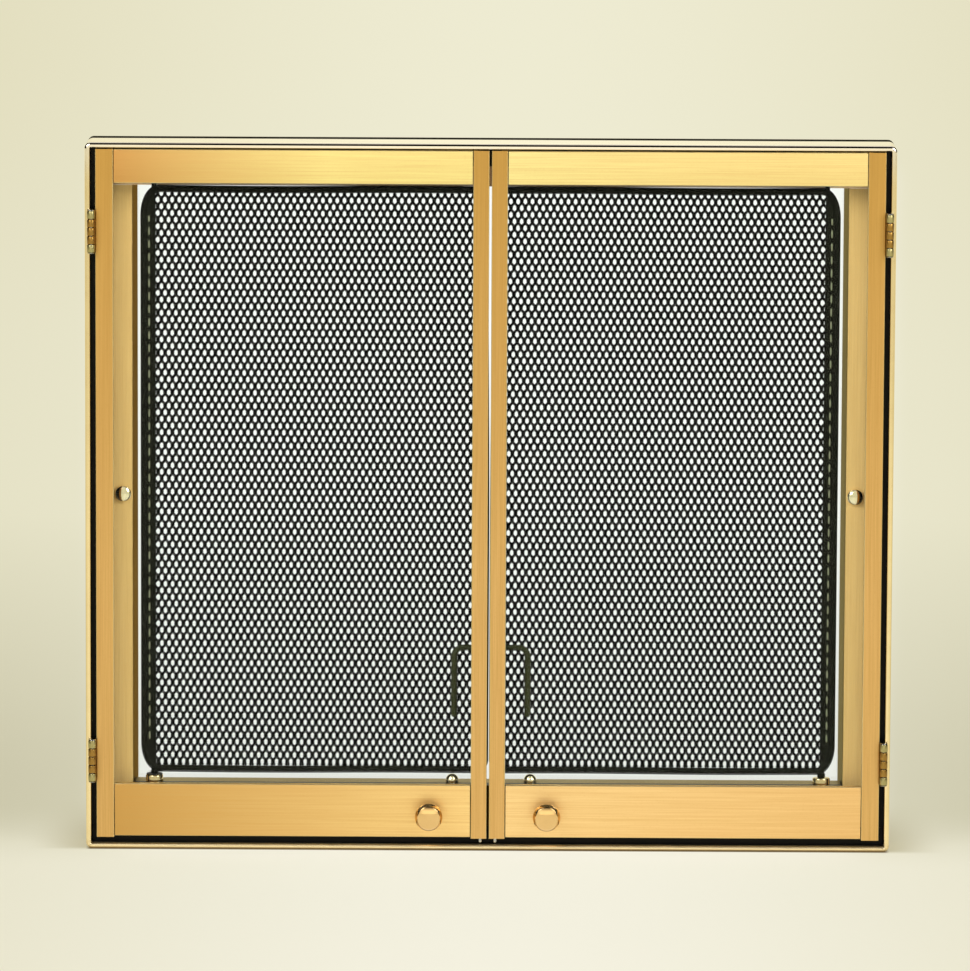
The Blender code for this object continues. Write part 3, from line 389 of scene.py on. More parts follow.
# Doors: rolled brass channels, satin finished along their length, with a slot for the pane. The
# stiles run the full height and the rails butt between them.
def satin_brass(name, colour, deep, along, painted_reflection_tone=None, span=None, rough=0.36, edge_highlight=False):
    """Brass rubbed with fine abrasive in one direction: streaks half a millimetre wide, drawn 1 mm wide
    so that they show, and, where asked, a painted reflection: a slow change of tone along the piece from
    colour to a second tone. Where asked too, edges rolled in the mill, whose faces turn away from y, are
    paler, a painted highlight, and take a set roughness."""
    made, tree, out = new_material(name)
    place = add(tree, "TexCoord").outputs["Object"]
    stretch = [900.0, 900.0, 900.0]
    stretch["XYZ".index(along)] = 9.0
    rubbed = add(tree, "Mapping", {"Vector": place, "Scale": stretch})
    streak = add(tree, "TexNoise", {
        "Vector": rubbed.outputs[0], "Scale": 1.0, "Detail": 3.0, "Roughness": 0.65}).outputs[0]
    speck = add(tree, "TexNoise", {"Vector": place, "Scale": 420.0, "Detail": 4.0, "Roughness": 0.75})
    patch = add(tree, "TexNoise", {"Vector": place, "Scale": 14.0, "Detail": 3.0})
    base = linear(colour)
    # Painted reflection: the tone changes slowly along the piece.
    if painted_reflection_tone:
        ends = add(tree, "SeparateXYZ", {0: place})
        base = mix(tree, ramp(tree, ends.outputs[along], *span), base, linear(painted_reflection_tone))
    toned = mix(tree, ramp(tree, streak, 0.3, 0.75, 0.0, 0.45), base, linear(deep))
    toned = mix(tree, ramp(tree, speck.outputs[0], 0.55, 0.8, 0.0, 0.35), toned, linear(deep))
    dull = maths(tree, "MULTIPLY_ADD", streak, 0.25, rough - 0.12)
    dull = maths(tree, "MULTIPLY_ADD", patch.outputs[0], 0.12, dull)
    facing = add(tree, "SeparateXYZ", {0: add(tree, "TexCoord").outputs["Normal"]})
    facing = maths(tree, "ABSOLUTE", facing.outputs["Y"])
    # Painted highlight: edges that turn away from y are paler.
    edge = ramp(tree, facing, 0.97, 0.85, 0.0, 1.0 if edge_highlight else 0.0)
    toned = mix(tree, edge, toned, linear("#f3dfa4"))
    dull = add(tree, "Mix", {"Factor": edge, 2: dull, 3: 0.34})
    bump = add(tree, "Bump", {"Height": streak, "Strength": 0.18, "Distance": 0.0004})
    shader = add(tree, "BsdfPrincipled", {
        "Base Color": toned, "Metallic": 1.0, "Roughness": dull.outputs[0], "Normal": bump.outputs[0]})
    tree.links.new(shader.outputs[0], out.inputs["Surface"])
    return made


# Painted reflection: the uprights are paler low down and darker towards the head.
stile_brass = satin_brass("upright_brass", "#e2b774", "#b98a42", "Z", "#cb9f55", (0.30, 0.74), edge_highlight=True)
EDGE_ROUND = 1.1 * MM
WALL = 1.6 * MM
LIP = 4.8 * MM
POCKET = 6.2 * MM
BUTT_GAP = 0.45 * MM


def channel(width, depth):
    """(across, deep) outline of a door channel with rounded front edges and the slot for the pane."""
    turn = np.radians(np.linspace(0, 90, 7))
    far = np.stack([width - EDGE_ROUND * (1 - np.sin(turn)), EDGE_ROUND * (1 - np.cos(turn))], axis=1)
    near = np.stack([EDGE_ROUND * (1 - np.cos(turn)), EDGE_ROUND * (1 - np.sin(turn))], axis=1)
    web = width - POCKET
    inner = WALL + LIP
    rest = np.array([
        (width, WALL), (web, WALL), (web, inner), (width, inner), (width, inner + WALL), (web, inner + WALL),
        (web, depth), (web - WALL, depth), (web - WALL, WALL), (WALL, WALL), (WALL, depth), (0.0, depth)])
    return np.concatenate([near, far, rest])


def stile(node, edge_outwards):
    """Channel carried up from foot to head; across runs inwards from the side named by edge_outwards."""
    low, high = (np.array(c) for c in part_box(node))
    section = channel(high[0] - low[0], high[1] - low[1])
    x = low[0] + section[:, 0] if edge_outwards < 0 else high[0] - section[:, 0]
    outline = np.stack([x, low[1] + section[:, 1], np.zeros(len(x))], axis=1)
    return carried(np.stack([outline + (0, 0, low[2]), outline + (0, 0, high[2])]))


def rail(node, edge_up):
    """Channel carried across between the stiles; across runs from the door's edge towards the pane."""
    low, high = (np.array(c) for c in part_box(node))
    section = channel(high[2] - low[2], high[1] - low[1])
    z = high[2] - section[:, 0] if edge_up > 0 else low[2] + section[:, 0]
    outline = np.stack([np.zeros(len(z)), low[1] + section[:, 1], z], axis=1)
    ends = (low[0] + BUTT_GAP, high[0] - BUTT_GAP)
    return carried(np.stack([outline + (x, 0, 0) for x in ends]))


for side, sign in SIDES:
    body = side + "_door"
    node = side + "_outer_stile"
    piece(side + "_outer_upright", stile(node, sign), stile_brass, body, [node])
    node = side + "_inner_stile"
    piece(side + "_inner_upright", stile(node, -sign), stile_brass, body, [node])
    low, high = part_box(side + "_top_rail")
    # Painted reflection: each rail's tone changes along it, differently on the left and right doors.
    tones = ("#cf9a58", "#fdec9e") if side == "left" else ("#fff0a6", "#fbe49c")
    span = (low[0], low[0] + 0.6 * (high[0] - low[0]))
    top_brass = satin_brass(side + "_top_rail_brass", tones[0], "#dcae68", "X", tones[1], span, edge_highlight=True)
    node = side + "_top_rail"
    piece(side + "_head_rail", rail(node, 1), top_brass, body, [node])
    tones = ("#cfa25c", "#ffdc96") if side == "left" else ("#ffdc9c", "#f6cc8c")
    span = (low[0], high[0])
    low_brass = satin_brass(side + "_low_rail_brass", tones[0], "#dba75c", "X", tones[1], span, edge_highlight=True)
    node = side + "_bottom_rail"
    piece(side + "_foot_rail", rail(node, -1), low_brass, body, [node])


# Panes: clear toughened glass, 4 mm, ground edges, coated against reflections. Lamps shine through
# them, so they cast no shadow.
def clear_glass():
    """Clear glass under a faint greasy film; nine tenths of what the camera sees passes straight through."""
    made, tree, out = new_material("clear_glass")
    place = add(tree, "TexCoord").outputs["Object"]
    smear = add(tree, "TexNoise", {"Vector": place, "Scale": 9.0, "Detail": 5.0})
    film = ramp(tree, smear.outputs[0], 0.4, 0.8, 0.0, 0.02)
    pane = add(tree, "BsdfPrincipled", {
        "Base Color": linear("#fbfefc"), "Roughness": film, "IOR": 1.45, "Transmission Weight": 1.0})
    rays = add(tree, "LightPath").outputs
    clear = add(tree, "BsdfTransparent", {"Color": linear("#fafcfb")})
    straight = maths(tree, "MULTIPLY", rays["Is Camera Ray"], 0.9)
    straight = maths(tree, "MAXIMUM", straight, rays["Is Shadow Ray"])
    both = add(tree, "MixShader", {0: straight, 1: pane.outputs[0], 2: clear.outputs[0]})
    tree.links.new(both.outputs[0], out.inputs["Surface"])
    return made


glass = clear_glass()
for side, sign in SIDES:
    finish_node(side + "_glass", glass)


# Knobs: turned from brass bar and buffed, each held by a screw from behind.
def turned(profile, centre, axis, sides=48):
    """Profile of (radius, height) pairs turned about an axis, with flat ends."""
    profile = np.asarray(profile, dtype=float)
    axis = np.asarray(axis, dtype=float)
    across = np.array([1.0, 0, 0]) if abs(axis[0]) < 0.5 else np.array([0, 1.0, 0])
    other = np.cross(axis, across)
    turn = np.arange(sides) * 2 * np.pi / sides
    round_ = np.cos(turn)[:, None] * across + np.sin(turn)[:, None] * other
    rings = centre + profile[:, 1, None, None] * axis + profile[:, 0, None, None] * round_[None]
    return carried(rings)


def smooth_curve(points, steps):
    """Catmull-Rom curve through a list of points: each span is a cubic through its two neighbours."""
    p = np.asarray(points, dtype=float)
    p = np.concatenate([p[:1] * 2 - p[1:2], p, p[-1:] * 2 - p[-2:-1]])
    t = np.linspace(0, 1, steps, endpoint=False)[:, None]
    a, b, c, d = (p[i:len(p) - 3 + i, None] for i in range(4))
    square, cube = (2 * a - 5 * b + 4 * c - d) * t ** 2, (3 * b - a - 3 * c + d) * t ** 3
    spans = 0.5 * (2 * b + (c - a) * t + square + cube)
    return np.concatenate([spans.reshape(-1, p.shape[1]), p[-2:-1]])


knob_brass = polished_brass("knob_brass", "#e7c084")
for side, sign in SIDES:
    low, high = (np.array(c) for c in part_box(side + "_knob"))
    length = high[1] - low[1]
    rim = (high[0] - low[0]) / 2
    centre = np.array([(low[0] + high[0]) / 2, high[1], (low[2] + high[2]) / 2])
    neck = smooth_curve([(9.2, 2.6), (7.2, 5.2), (6.7, 9.5), (8.6, 13.4), (12.2, 17.2), (14.3, 19.6)], 6)
    profile = np.concatenate([
        [(2.4, 0.0), (10.3, 0.0), (10.7, 0.5), (10.7, 1.5), (10.3, 2.1)], neck,
        [(14.7, 20.2), (14.8, 20.9), (14.8, 22.4), (14.5, 23.2), (12.3, 26.1), (12.0, 26.5), (11.6, 26.7)]])
    profile = profile * (rim, length) / profile.max(axis=0)
    piece(side + "_turned_knob", turned(profile, centre, (0, -1, 0)), knob_brass, side + "_door",
          [side + "_knob"])


# Screws, catches, brackets: zinc-plated steel.
def plated_steel():
    """Zinc plate: grey metal, cloudy in tone and gloss."""
    made, tree, out = new_material("zinc_plated_steel")
    place = add(tree, "TexCoord").outputs["Object"]
    cloud = add(tree, "TexNoise", {"Vector": place, "Scale": 120.0, "Detail": 4.0})
    tone = mix(tree, cloud.outputs[0], linear("#c9c8c0"), linear("#9b9a92"))
    dull = ramp(tree, cloud.outputs[0], 0.3, 0.7, 0.18, 0.34)
    shader = add(tree, "BsdfPrincipled", {"Base Color": tone, "Metallic": 1.0, "Roughness": dull})
    tree.links.new(shader.outputs[0], out.inputs["Surface"])
    return made


steel = plated_steel()
for side, sign in SIDES:
    for node in ("_knob_screw", "_door_catch", "_pivot_bracket", "_hearth_bracket"):
        finish_node(side + node, steel)


# Hinges: brass butts of five knuckles, rolled from the leaves round a steel pin with domed heads. The
# end knuckles are paler and greener than the others. The barrel stands in front of the frame.
end_eye_metal = satin_brass("pale_knuckle_brass", "#b9ae78", "#857848", "Z", rough=0.27)
eye_metal = satin_brass("bare_brass", "#ab8442", "#7a5a2a", "Z", rough=0.29)
KNUCKLES = 5
BORE = 1.7 * MM
KNUCKLE_GAP = 0.9 * MM
EDGE_BREAK = 0.6 * MM
LEAF = 1.2 * MM
PIN_RADIUS = 1.4 * MM
PIN_HEAD = 1.2 * MM
PIN_STAND = 0.2 * MM


def box_block(low, high):
    """Plain block between two corners."""
    x, z = [low[0], high[0], high[0], low[0]], [low[2], low[2], high[2], high[2]]
    ring = np.stack([x, [0.0] * 4, z], axis=1)
    return carried(np.stack([ring + (0, low[1], 0), ring + (0, high[1], 0)]))


def turned_ring(outline, centre, sides=40):
    """Closed outline of (radius, height) pairs carried once round an upright axis."""
    outline = np.asarray(outline, dtype=float)
    turn = (np.arange(sides) * 2 * np.pi / sides)[:, None]
    x = centre[0] + outline[None, :, 0] * np.cos(turn)
    y = centre[1] + outline[None, :, 0] * np.sin(turn)
    z = np.broadcast_to(centre[2] + outline[None, :, 1], x.shape)
    return carried(np.stack([x, y, z], axis=-1), loop=True)


def knuckle(radius, centre, low, high):
    """Rolled eye with broken edges."""
    b = EDGE_BREAK
    outline = [(BORE, low), (radius - b, low), (radius - b * 0.3, low + b * 0.3), (radius, low + b),
               (radius, high - b), (radius - b * 0.3, high - b * 0.3), (radius - b, high), (BORE, high)]
    return turned_ring(outline, centre)


for side, sign in SIDES:
    for height_name in ("_upper", "_lower"):
        name = side + height_name + "_hinge"
        low, high = (np.array(c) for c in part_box(name + "_frame_leaf"))
        pin_low, pin_high = (np.array(c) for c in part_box(name + "_pin"))
        centre = np.array([(pin_low[0] + pin_high[0]) / 2, (pin_low[1] + pin_high[1]) / 2, 0.0])
        radius = centre[1] - low[1]
        step = (high[2] - low[2]) / KNUCKLES
        frame_plate, door_plate = centre[0] + sign * 0.4 * MM, centre[0] - sign * (radius - 0.9 * MM)
        for leaf, first, plate_x in (("_frame_leaf", 0, frame_plate), ("_door_leaf", 1, door_plate)):
            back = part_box(name + leaf)[1][1]
            front = centre[1] + radius + KNUCKLE_GAP
            plate = [box_block((plate_x - LEAF / 2, front, low[2]), (plate_x + LEAF / 2, back, high[2]))]
            eyes = []
            for i in range(first, KNUCKLES, 2):
                z_low = low[2] + i * step + KNUCKLE_GAP / 2
                z_high = z_low + step - KNUCKLE_GAP
                neck = box_block((plate_x - LEAF / 2, centre[1] + BORE, z_low),
                                 (plate_x + LEAF / 2, front, z_high))
                eyes.append([knuckle(radius, centre, z_low, z_high), neck])
            if first == 0:
                piece(name + "_end_eyes", plate + eyes[0] + eyes[2], end_eye_metal, "frame",
                      [name + leaf])
                piece(name + "_middle_eye", eyes[1], eye_metal, "frame")
            else:
                piece(name + "_door_eyes", plate + eyes[0] + eyes[1], eye_metal, side + "_door",
                      [name + leaf])
        head = radius * 0.92
        turn = np.radians(np.linspace(0, 88, 8))
        cap = np.stack([head * np.cos(turn), PIN_HEAD * np.sin(turn)], axis=1)
        shank = np.array([(PIN_RADIUS, low[2] - PIN_STAND), (PIN_RADIUS, high[2] + PIN_STAND)])
        profile = np.concatenate([(cap * (1, -1))[::-1] + (0, shank[0, 1]), shank, cap + (0, shank[1, 1])])
        piece(name + "_headed_pin", turned(profile, centre, (0, 0, 1), 32), steel, "frame",
              [name + "_pin"])


# Jamb plates: satin brass sheet folded to a right angle. The face is bright; the return into the
# opening is darkened to a dark olive as painted shade, a little differently on each side.
def add_painted_shade(made, value, low, high, dark):
    """Painted shade: darkens a finished metal where a value of its node tree passes from low to high."""
    tree = made.node_tree
    base = tree.nodes["Principled BSDF"].inputs["Base Color"]
    tree.links.new(blend(tree, value, low, high, base.links[0].from_socket, linear(dark)), base)


def shaded_return_brass(name, colour, deep, along, dark, sheen):
    """Satin brass with painted shade: its faces across x are darkened and reflect in brown."""
    made = satin_brass(name, colour, deep, along, rough=0.42)
    tree = made.node_tree
    shader = tree.nodes["Principled BSDF"]
    # Painted shade: faces across x are darkened and their reflection tinted brown.
    shader.inputs["Specular Tint"].default_value = linear(sheen)
    facing = add(tree, "SeparateXYZ", {0: add(tree, "TexCoord").outputs["Normal"]})
    sideways = maths(tree, "ABSOLUTE", facing.outputs["X"])
    add_painted_shade(made, sideways, 0.5, 0.9, dark)
    tree.links.new(ramp(tree, sideways, 0.5, 0.9, 0.3, 1.0), shader.inputs["Metallic"])
    return made


SHEET = 1.5 * MM
FOLD = 2.3 * MM
SPLAY = 3.1 * MM


def folded_jamb(node, sign):
    """Angle section with a rounded fold and a splayed return, carried from the sill's foot to the header."""
    low, high = (np.array(c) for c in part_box(node))
    wide, deep = high[0] - low[0], high[1] - low[1]
    turn = np.radians(np.linspace(-90, -180, 9))
    bend = np.stack([np.cos(turn), np.sin(turn)], axis=1)
    outer = FOLD + FOLD * bend + (SPLAY, 0)
    inner = FOLD + (FOLD - SHEET) * bend[::-1] + (SPLAY, 0)
    section = np.concatenate([[(wide, 0.0)], outer, [(0.0, deep), (SHEET, deep)], inner, [(wide, SHEET)]])
    x = high[0] - section[:, 0] if sign < 0 else low[0] + section[:, 0]
    outline = np.stack([x, low[1] + section[:, 1], np.zeros(len(x))], axis=1)
    return carried(np.stack([outline + (0, 0, low[2]), outline + (0, 0, high[2])]))


for side, sign in SIDES:
    # Painted shade on the returns, darker on the left than on the right.
    tones = ("#6a5420", "#e6bf68") if side == "left" else ("#80754f", "#e8d6ac")
    jamb_brass = shaded_return_brass(side + "_jamb_brass", "#f8d08a", "#dcaa62", "Z", *tones)
    node = "jamb_plate_" + side
    piece(side + "_folded_jamb", folded_jamb(node, sign), jamb_brass, "frame", [node])

# Sill and header: the same sheet, duller, with faint blotches from heat. A painted shadow darkens the
# sill along its front, where it runs under the doors.
sill_brass = satin_brass("sill_brass", "#c4a868", "#8d6c38", "X")
tree = sill_brass.node_tree
spot = add(tree, "SeparateXYZ", {0: add(tree, "TexCoord").outputs["Object"]}).outputs
# Painted shadow: the sill darkens along its front.
add_painted_shade(sill_brass, spot["Y"], 9.5 * MM, 7.0 * MM, "#2c2008")
finish_node("sill_channel", sill_brass)
header_brass = satin_brass("header_brass", "#e8c6a2", "#c39a74", "X")
finish_node("header_plate", header_brass)


# Buttons: turned brass, domed, polished. Those on the jambs stop the doors' glass from touching; the
# pair on the sill carries the free ends of the screens.
def dome(radius, height):
    """Short cylinder with an elliptic dome, as (radius, height) pairs."""
    wall = height * 0.3
    turn = np.radians(np.linspace(0, 88, 14))
    cap = np.stack([radius * np.cos(turn), wall + (height - wall) * np.sin(turn)], axis=1)
    return np.concatenate([[(radius * 0.96, 0.0), (radius, radius * 0.04)], cap])


for side, sign in SIDES:
    for node, axis in (("jamb_button_" + side, 1), ("screen_rest_" + side, 2)):
        low, high = (np.array(c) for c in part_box(node))
        centre = (low + high) / 2
        centre[axis] = high[1] if axis == 1 else low[2]
        profile = dome((high[0] - low[0]) / 2, high[axis] - low[axis])
        way = (0, -1, 0) if axis == 1 else (0, 0, 1)
        piece(node.replace("button", "dome").replace("rest", "stud"), turned(profile, centre, way, 48),
              bright_brass, "frame", [node])

# Bushes: turned brass rings that the screens' lower pins turn in; the left one carries a fibre washer.
BUSH_BORE = 3.1 * MM
for side, sign in SIDES:
    low, high = (np.array(c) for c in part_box(side + "_pivot_bush"))
    centre = np.array([(low[0] + high[0]) / 2, (low[1] + high[1]) / 2, low[2]])
    r, h = (high[0] - low[0]) / 2, high[2] - low[2]
    outline = [(BUSH_BORE, 0), (r, 0), (r, h - 0.9 * MM), (r - 0.3 * MM, h - 0.3 * MM), (r - 0.9 * MM, h),
               (BUSH_BORE + 0.5 * MM, h), (BUSH_BORE, h - 0.5 * MM)]
    bush_brass = polished_brass(side + "_bush_brass", "#e6d0a2")
    piece(side + "_turned_bush", turned_ring(outline, centre), bush_brass, "frame",
          [side + "_pivot_bush"])
low, high = (np.array(c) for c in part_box("left_pivot_washer"))
centre = np.array([(low[0] + high[0]) / 2, (low[1] + high[1]) / 2, low[2]])
r, h = (high[0] - low[0]) / 2, high[2] - low[2]
outline = [(BUSH_BORE, 0), (r - 0.2 * MM, 0), (r, 0.2 * MM), (r, h - 0.2 * MM), (r - 0.2 * MM, h),
           (BUSH_BORE, h)]
piece("fibre_washer", turned_ring(outline, centre), matt_black, "frame", ["left_pivot_washer"])

# Screens: a ring of bent 8 mm rod on two pivot pins, dipped in olive black stove paint.
olive_paint = stove_paint("olive_black_paint", "#0b0c05", "#14160c", 0.48, 0.05)
handle_paint = stove_paint("olive_handle_paint", "#2b2d17", "#3a3c22", 0.48, 0.1)
net_paint = stove_paint("net_black_paint", "#050504", "#0a0a07", 0.55, 0.03)
ROD = 3.95 * MM
NET_SEAT = 4.25 * MM
CORNER_RUN, CORNER_RISE, INNER_CORNER = 15.5 * MM, 28.0 * MM, 11.0 * MM
PIN_INSET = 10.5 * MM
BOW = 0.4 * MM
SAG = {"left": 2.3 * MM, "right": 1.2 * MM}
SAG_REACH = 350.0 * MM
SAG_HEAD, SAG_FOOT = 700.0 * MM, 340.0 * MM


def tube(path, radius, sides=20, loop=False):
    """Circles carried along a path that lies in one upright plane across y; radius may change on the way."""
    along = np.roll(path, -1, axis=0) - np.roll(path, 1, axis=0) if loop else np.gradient(path, axis=0)
    along /= np.linalg.norm(along, axis=1, keepdims=True)
    depth = np.array([0.0, 1.0, 0.0])
    across = np.cross(along, depth)
    turn = np.arange(sides) * 2 * np.pi / sides
    ring = across[:, None] * np.cos(turn)[:, None] + depth * np.sin(turn)[:, None]
    radius = np.broadcast_to(np.asarray(radius, dtype=float), len(path))
    return carried(path[:, None] + radius[:, None, None] * ring, loop)


def sagged(points, side, sign):
    """Points moved towards the middle: not at all at the pivots and the head, most at the free foot."""
    free = 1 - np.clip((np.abs(points[..., 0]) - 6.0 * MM) / SAG_REACH, 0, 1)
    low = np.clip((SAG_HEAD - points[..., 2]) / (SAG_HEAD - SAG_FOOT), 0, 1)
    moved = points.copy()
    moved[..., 0] -= sign * SAG[side] * free * low * low * (3 - 2 * low)
    return moved


def corner(cx, cz, run, rise, start, steps=14):
    """A quarter of an ellipse in x and z from its start angle in degrees."""
    turn = np.radians(np.linspace(start, start + 90, steps))
    return np.stack([cx + run * np.cos(turn), cz + rise * np.sin(turn)], axis=1)


def straight(a, b, pitch=0.02):
    """Evenly spaced points between two corners, ends left out."""
    count = max(2, int(np.hypot(*(b - a)) / pitch))
    return a + (b - a) * np.linspace(0, 1, count + 1)[1:-1, None]


def rod_ring(sign, inner, outer, low, high, y):
    """Centre line of the rod: small corners inboard, tall narrow ones outboard, long sides slightly bowed."""
    parts = [corner(inner + INNER_CORNER, low + INNER_CORNER, INNER_CORNER, INNER_CORNER, 180),
             corner(outer - CORNER_RUN, low + CORNER_RISE, CORNER_RUN, CORNER_RISE, 270),
             corner(outer - CORNER_RUN, high - CORNER_RISE, CORNER_RUN, CORNER_RISE, 0),
             corner(inner + INNER_CORNER, high - INNER_CORNER, INNER_CORNER, INNER_CORNER, 90)]
    whole = []
    for part, after in zip(parts, parts[1:] + parts[:1]):
        whole += [part, straight(part[-1], after[0])]
    path = np.concatenate(whole)
    bow = BOW * np.sin(np.pi * (path[:, 0] - inner) / (outer - inner) * 2.3)
    return np.stack([path[:, 0] * sign, np.full(len(path), y), path[:, 1] + bow], axis=1)


for side, sign in SIDES:
    body = side + "_screen"
    low, high = (np.array(c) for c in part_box(side + "_screen_rod"))
    net_low, net_high = (np.array(c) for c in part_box(side + "_screen_net"))
    y = (net_low[1] + net_high[1]) / 2
    xs = sorted(abs(x) for x in (low[0], high[0]))
    inner, outer = xs[0] + ROD, xs[1] - ROD
    rod_low, rod_high = net_low[2] - NET_SEAT, net_high[2] + NET_SEAT
    ring = tube(sagged(rod_ring(sign, inner, outer, rod_low, rod_high, y), side, sign), ROD, loop=True)
    pin_x = sign * (outer - PIN_INSET)
    bush_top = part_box(side + "_pivot_bush")[1][2]
    seat = bush_top + (1.7 * MM if side == "left" else 0.3 * MM)
    foot = np.array([(2.4, low[2] / MM), (2.6, low[2] / MM + 0.3), (2.6, seat / MM), (4.0, seat / MM),
                     (4.2, seat / MM + 0.3), (4.2, rod_low / MM - 2.6), (3.2, rod_low / MM - 0.8),
                     (2.6, rod_low / MM + 1.2)]) * MM
    head = np.array([(2.6, rod_high / MM - 1.2), (2.6, high[2] / MM - 0.6), (2.0, high[2] / MM)]) * MM
    pins = [turned(p, np.array([pin_x, y, 0.0]), (0, 0, 1), 24) for p in (foot, head)]
    piece(side + "_bent_rod", [ring] + pins, olive_paint, body, [side + "_screen_rod"])

# Handle: the same steel, 7 mm, welded to the inner upright and bent down, its end ground round.
for side, sign in SIDES:
    low, high = (np.array(c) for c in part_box(side + "_screen_handle"))
    radius = (high[1] - low[1]) / 2
    y = (low[1] + high[1]) / 2
    drop = max(abs(low[0]), abs(high[0])) - radius
    start = min(abs(low[0]), abs(high[0])) - ROD
    top = high[2] - radius
    bend = 9.0 * MM
    foot = low[2] + radius
    turn = np.radians(np.linspace(90, 0, 12))
    end = np.radians(np.linspace(0, 85, 6))[1:]
    x = np.concatenate([
        np.linspace(start, drop - bend, 8)[:-1], drop - bend + bend * np.cos(turn), np.full(15, drop)])
    z = np.concatenate([
        np.full(7, top), top - bend + bend * np.sin(turn), np.linspace(top - bend, foot, 11)[1:],
        foot - radius * np.sin(end)])
    thick = np.concatenate([np.full(len(x) - 5, radius), radius * np.cos(end)])
    path = sagged(np.stack([x * sign, np.full(len(x), y), z], axis=1), side, sign)
    piece(side + "_bent_handle", tube(path, thick), handle_paint, side + "_screen",
          [side + "_screen_handle"])

# Hem: steel strip folded over the outer edge of the net and laced to the rod with soft wire.
HEM_INNER = 357.5 * MM
HEM_THICK = 3.4 * MM
LACE_PITCH = 14.0 * MM
LACE = 0.85 * MM
LACE_INSET = 7.0 * MM
LACE_SWING = 0.95 * MM
lace_paint = stove_paint("lacing_wire", "#7c7e62", "#8d8f72", 0.4)
for side, sign in SIDES:
    net_low, net_high = (np.array(c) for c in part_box(side + "_screen_net"))
    rod_low, rod_high = (np.array(c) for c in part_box(side + "_screen_rod"))
    y = (net_low[1] + net_high[1]) / 2 - 0.6 * MM
    outer = max(abs(rod_low[0]), abs(rod_high[0])) - ROD
    foot, head = net_low[2] - NET_SEAT, net_high[2] + NET_SEAT
    turn = np.arange(28) * 2 * np.pi / 28
    flat = [np.sign(c) * np.abs(c) ** power for c, power in ((np.cos(turn), 0.6), (np.sin(turn), 0.9))]
    z = foot + (head - foot) * (1 - np.cos(np.linspace(0, np.pi, 90))) / 2
    rise = np.clip(np.minimum(z - foot, head - z) / CORNER_RISE, 0, 1)
    edge = outer - CORNER_RUN * (1 - np.sqrt(1 - (1 - rise) ** 2))
    edge = np.maximum(edge, HEM_INNER + 0.5 * MM)[:, None]
    x = sign * ((edge + HEM_INNER) / 2 + (edge - HEM_INNER) / 2 * flat[0])
    strip = np.stack(np.broadcast_arrays(x, y + HEM_THICK / 2 * flat[1], z[:, None]), axis=-1)
    piece(side + "_hem", carried(strip), olive_paint, side + "_screen")
    z = np.arange(foot + CORNER_RISE, head - CORNER_RISE, LACE_PITCH / 8)
    wave = y - HEM_THICK / 2 + 0.55 * MM + LACE_SWING * np.cos(2 * np.pi * z / LACE_PITCH)
    path = np.stack([np.full(len(z), sign * (HEM_INNER + LACE_INSET)), wave, z], axis=1)
    along = np.gradient(path, axis=0)
    along /= np.linalg.norm(along, axis=1, keepdims=True)
    flat = np.array([1.0, 0.0, 0.0])
    turn = np.arange(8) * 2 * np.pi / 8
    ring = flat * np.cos(turn)[:, None] + np.cross(along, flat)[:, None] * np.sin(turn)[:, None]
    piece(side + "_lacing", carried(path[:, None] + LACE * ring), lace_paint, side + "_screen")

# Net: spring-like flattened coils of 3.2 mm wire, threaded into each other. Cells are 7.7 by 14.3 mm.
CELL_WIDTH = 7.7 * MM
CELL_HEIGHT = 14.3 * MM
WIRE = 1.62 * MM
STEPS_PER_CELL = 8
WIRE_SIDES = 5
COIL_DEPTH = 1.3 * MM


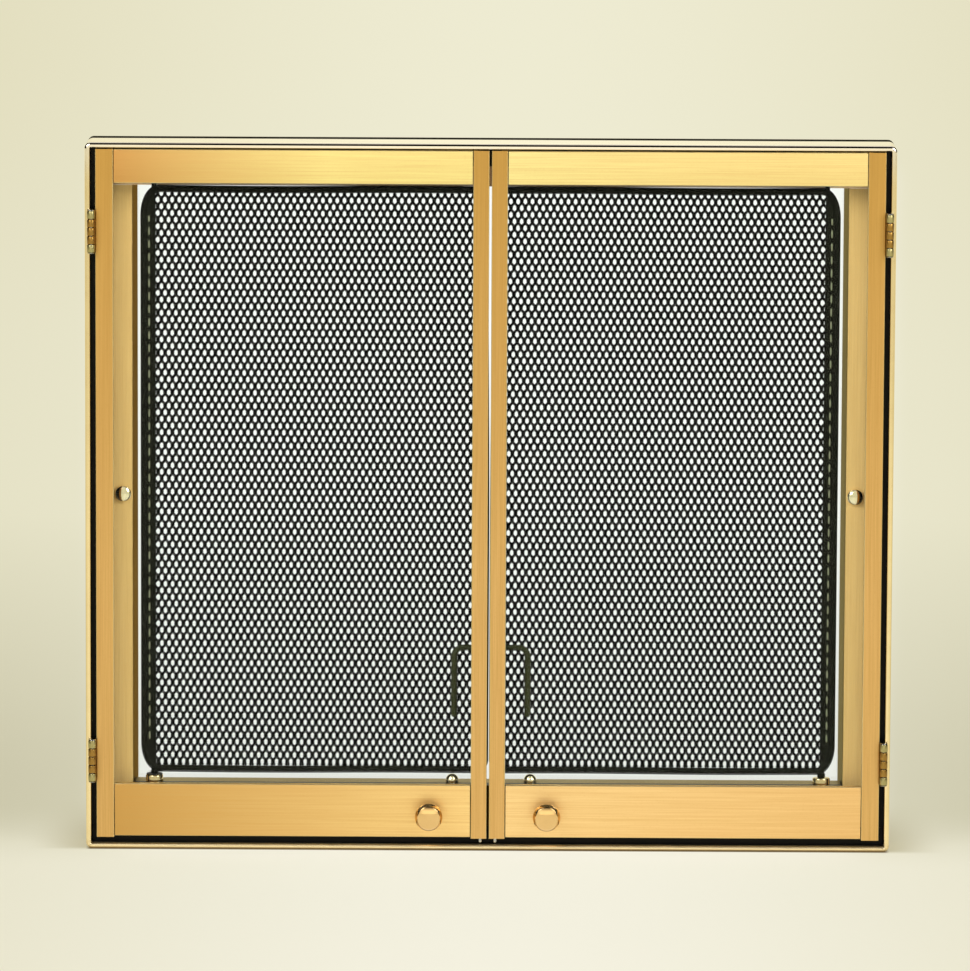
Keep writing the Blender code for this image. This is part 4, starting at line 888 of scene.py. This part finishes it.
def coil_net(x_low, x_high, z_low, z_high, y, side, share):
    """Upright flattened coils: x swings to and fro, half in straight legs and half as a sine, y turns
    once for each swing, and every second coil is half a turn on, so that neighbours hook together. Share
    0 makes the left half of the coils and share 1 the right half."""
    count = int(round((x_high - x_low) / (CELL_WIDTH / 2)))
    coils = np.arange(count)[share * count // 2:(share + 1) * count // 2]
    middle = x_low + (coils + 0.5) * (x_high - x_low) / count
    steps = int(round((z_high - z_low) / CELL_HEIGHT * STEPS_PER_CELL))
    z = np.linspace(z_low, z_high, steps + 1)
    phase = 2 * np.pi * (z - z_low) / CELL_HEIGHT + np.pi * (coils % 2)[:, None]
    swing = 0.55 * np.arcsin(np.sin(phase)) * 2 / np.pi + 0.45 * np.sin(phase)
    path = np.stack([
        middle[:, None] + (CELL_WIDTH / 4 + WIRE * 0.6) * swing,
        y - COIL_DEPTH * np.cos(phase),
        np.broadcast_to(z, phase.shape)], axis=-1)
    path = sagged(path, side, np.sign(x_low))
    along = np.gradient(path, axis=1)
    along /= np.linalg.norm(along, axis=-1, keepdims=True)
    across = np.cross(along, (0.0, 1.0, 0.0))
    across /= np.linalg.norm(across, axis=-1, keepdims=True)
    face = np.cross(across, along)
    turn = np.arange(WIRE_SIDES) * 2 * np.pi / WIRE_SIDES
    ring = across[:, :, None] * np.cos(turn)[:, None] + face[:, :, None] * np.sin(turn)[:, None]
    points = path[:, :, None] + WIRE * ring
    quads = closed_strips(steps + 1, WIRE_SIDES, False)
    starts = np.arange(len(coils))[:, None, None] * (steps + 1) * WIRE_SIDES
    quads = (quads[None] + starts).reshape(-1, 4).tolist()
    ends = np.array([np.arange(WIRE_SIDES), steps * WIRE_SIDES + np.arange(WIRE_SIDES)])
    return points.reshape(-1, 3), quads + (ends[None] + starts).reshape(-1, WIRE_SIDES).tolist()


for side, sign in SIDES:
    low, high = (np.array(c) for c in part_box(side + "_screen_net"))
    y = (low[1] + high[1]) / 2
    hem = abs(low[0] if sign < 0 else high[0]) - HEM_INNER - 1.5 * MM
    x_low, x_high = (low[0] + hem, high[0]) if sign < 0 else (low[0], high[0] - hem)
    for i, part in enumerate(("left_net", "right_net")):
        net = coil_net(x_low, x_high, low[2], high[2], y, side, i)
        piece(side + "_screen_" + part, net, net_paint, side + "_screen",
              [side + "_screen_net"] if i == 0 else (), crease=180)
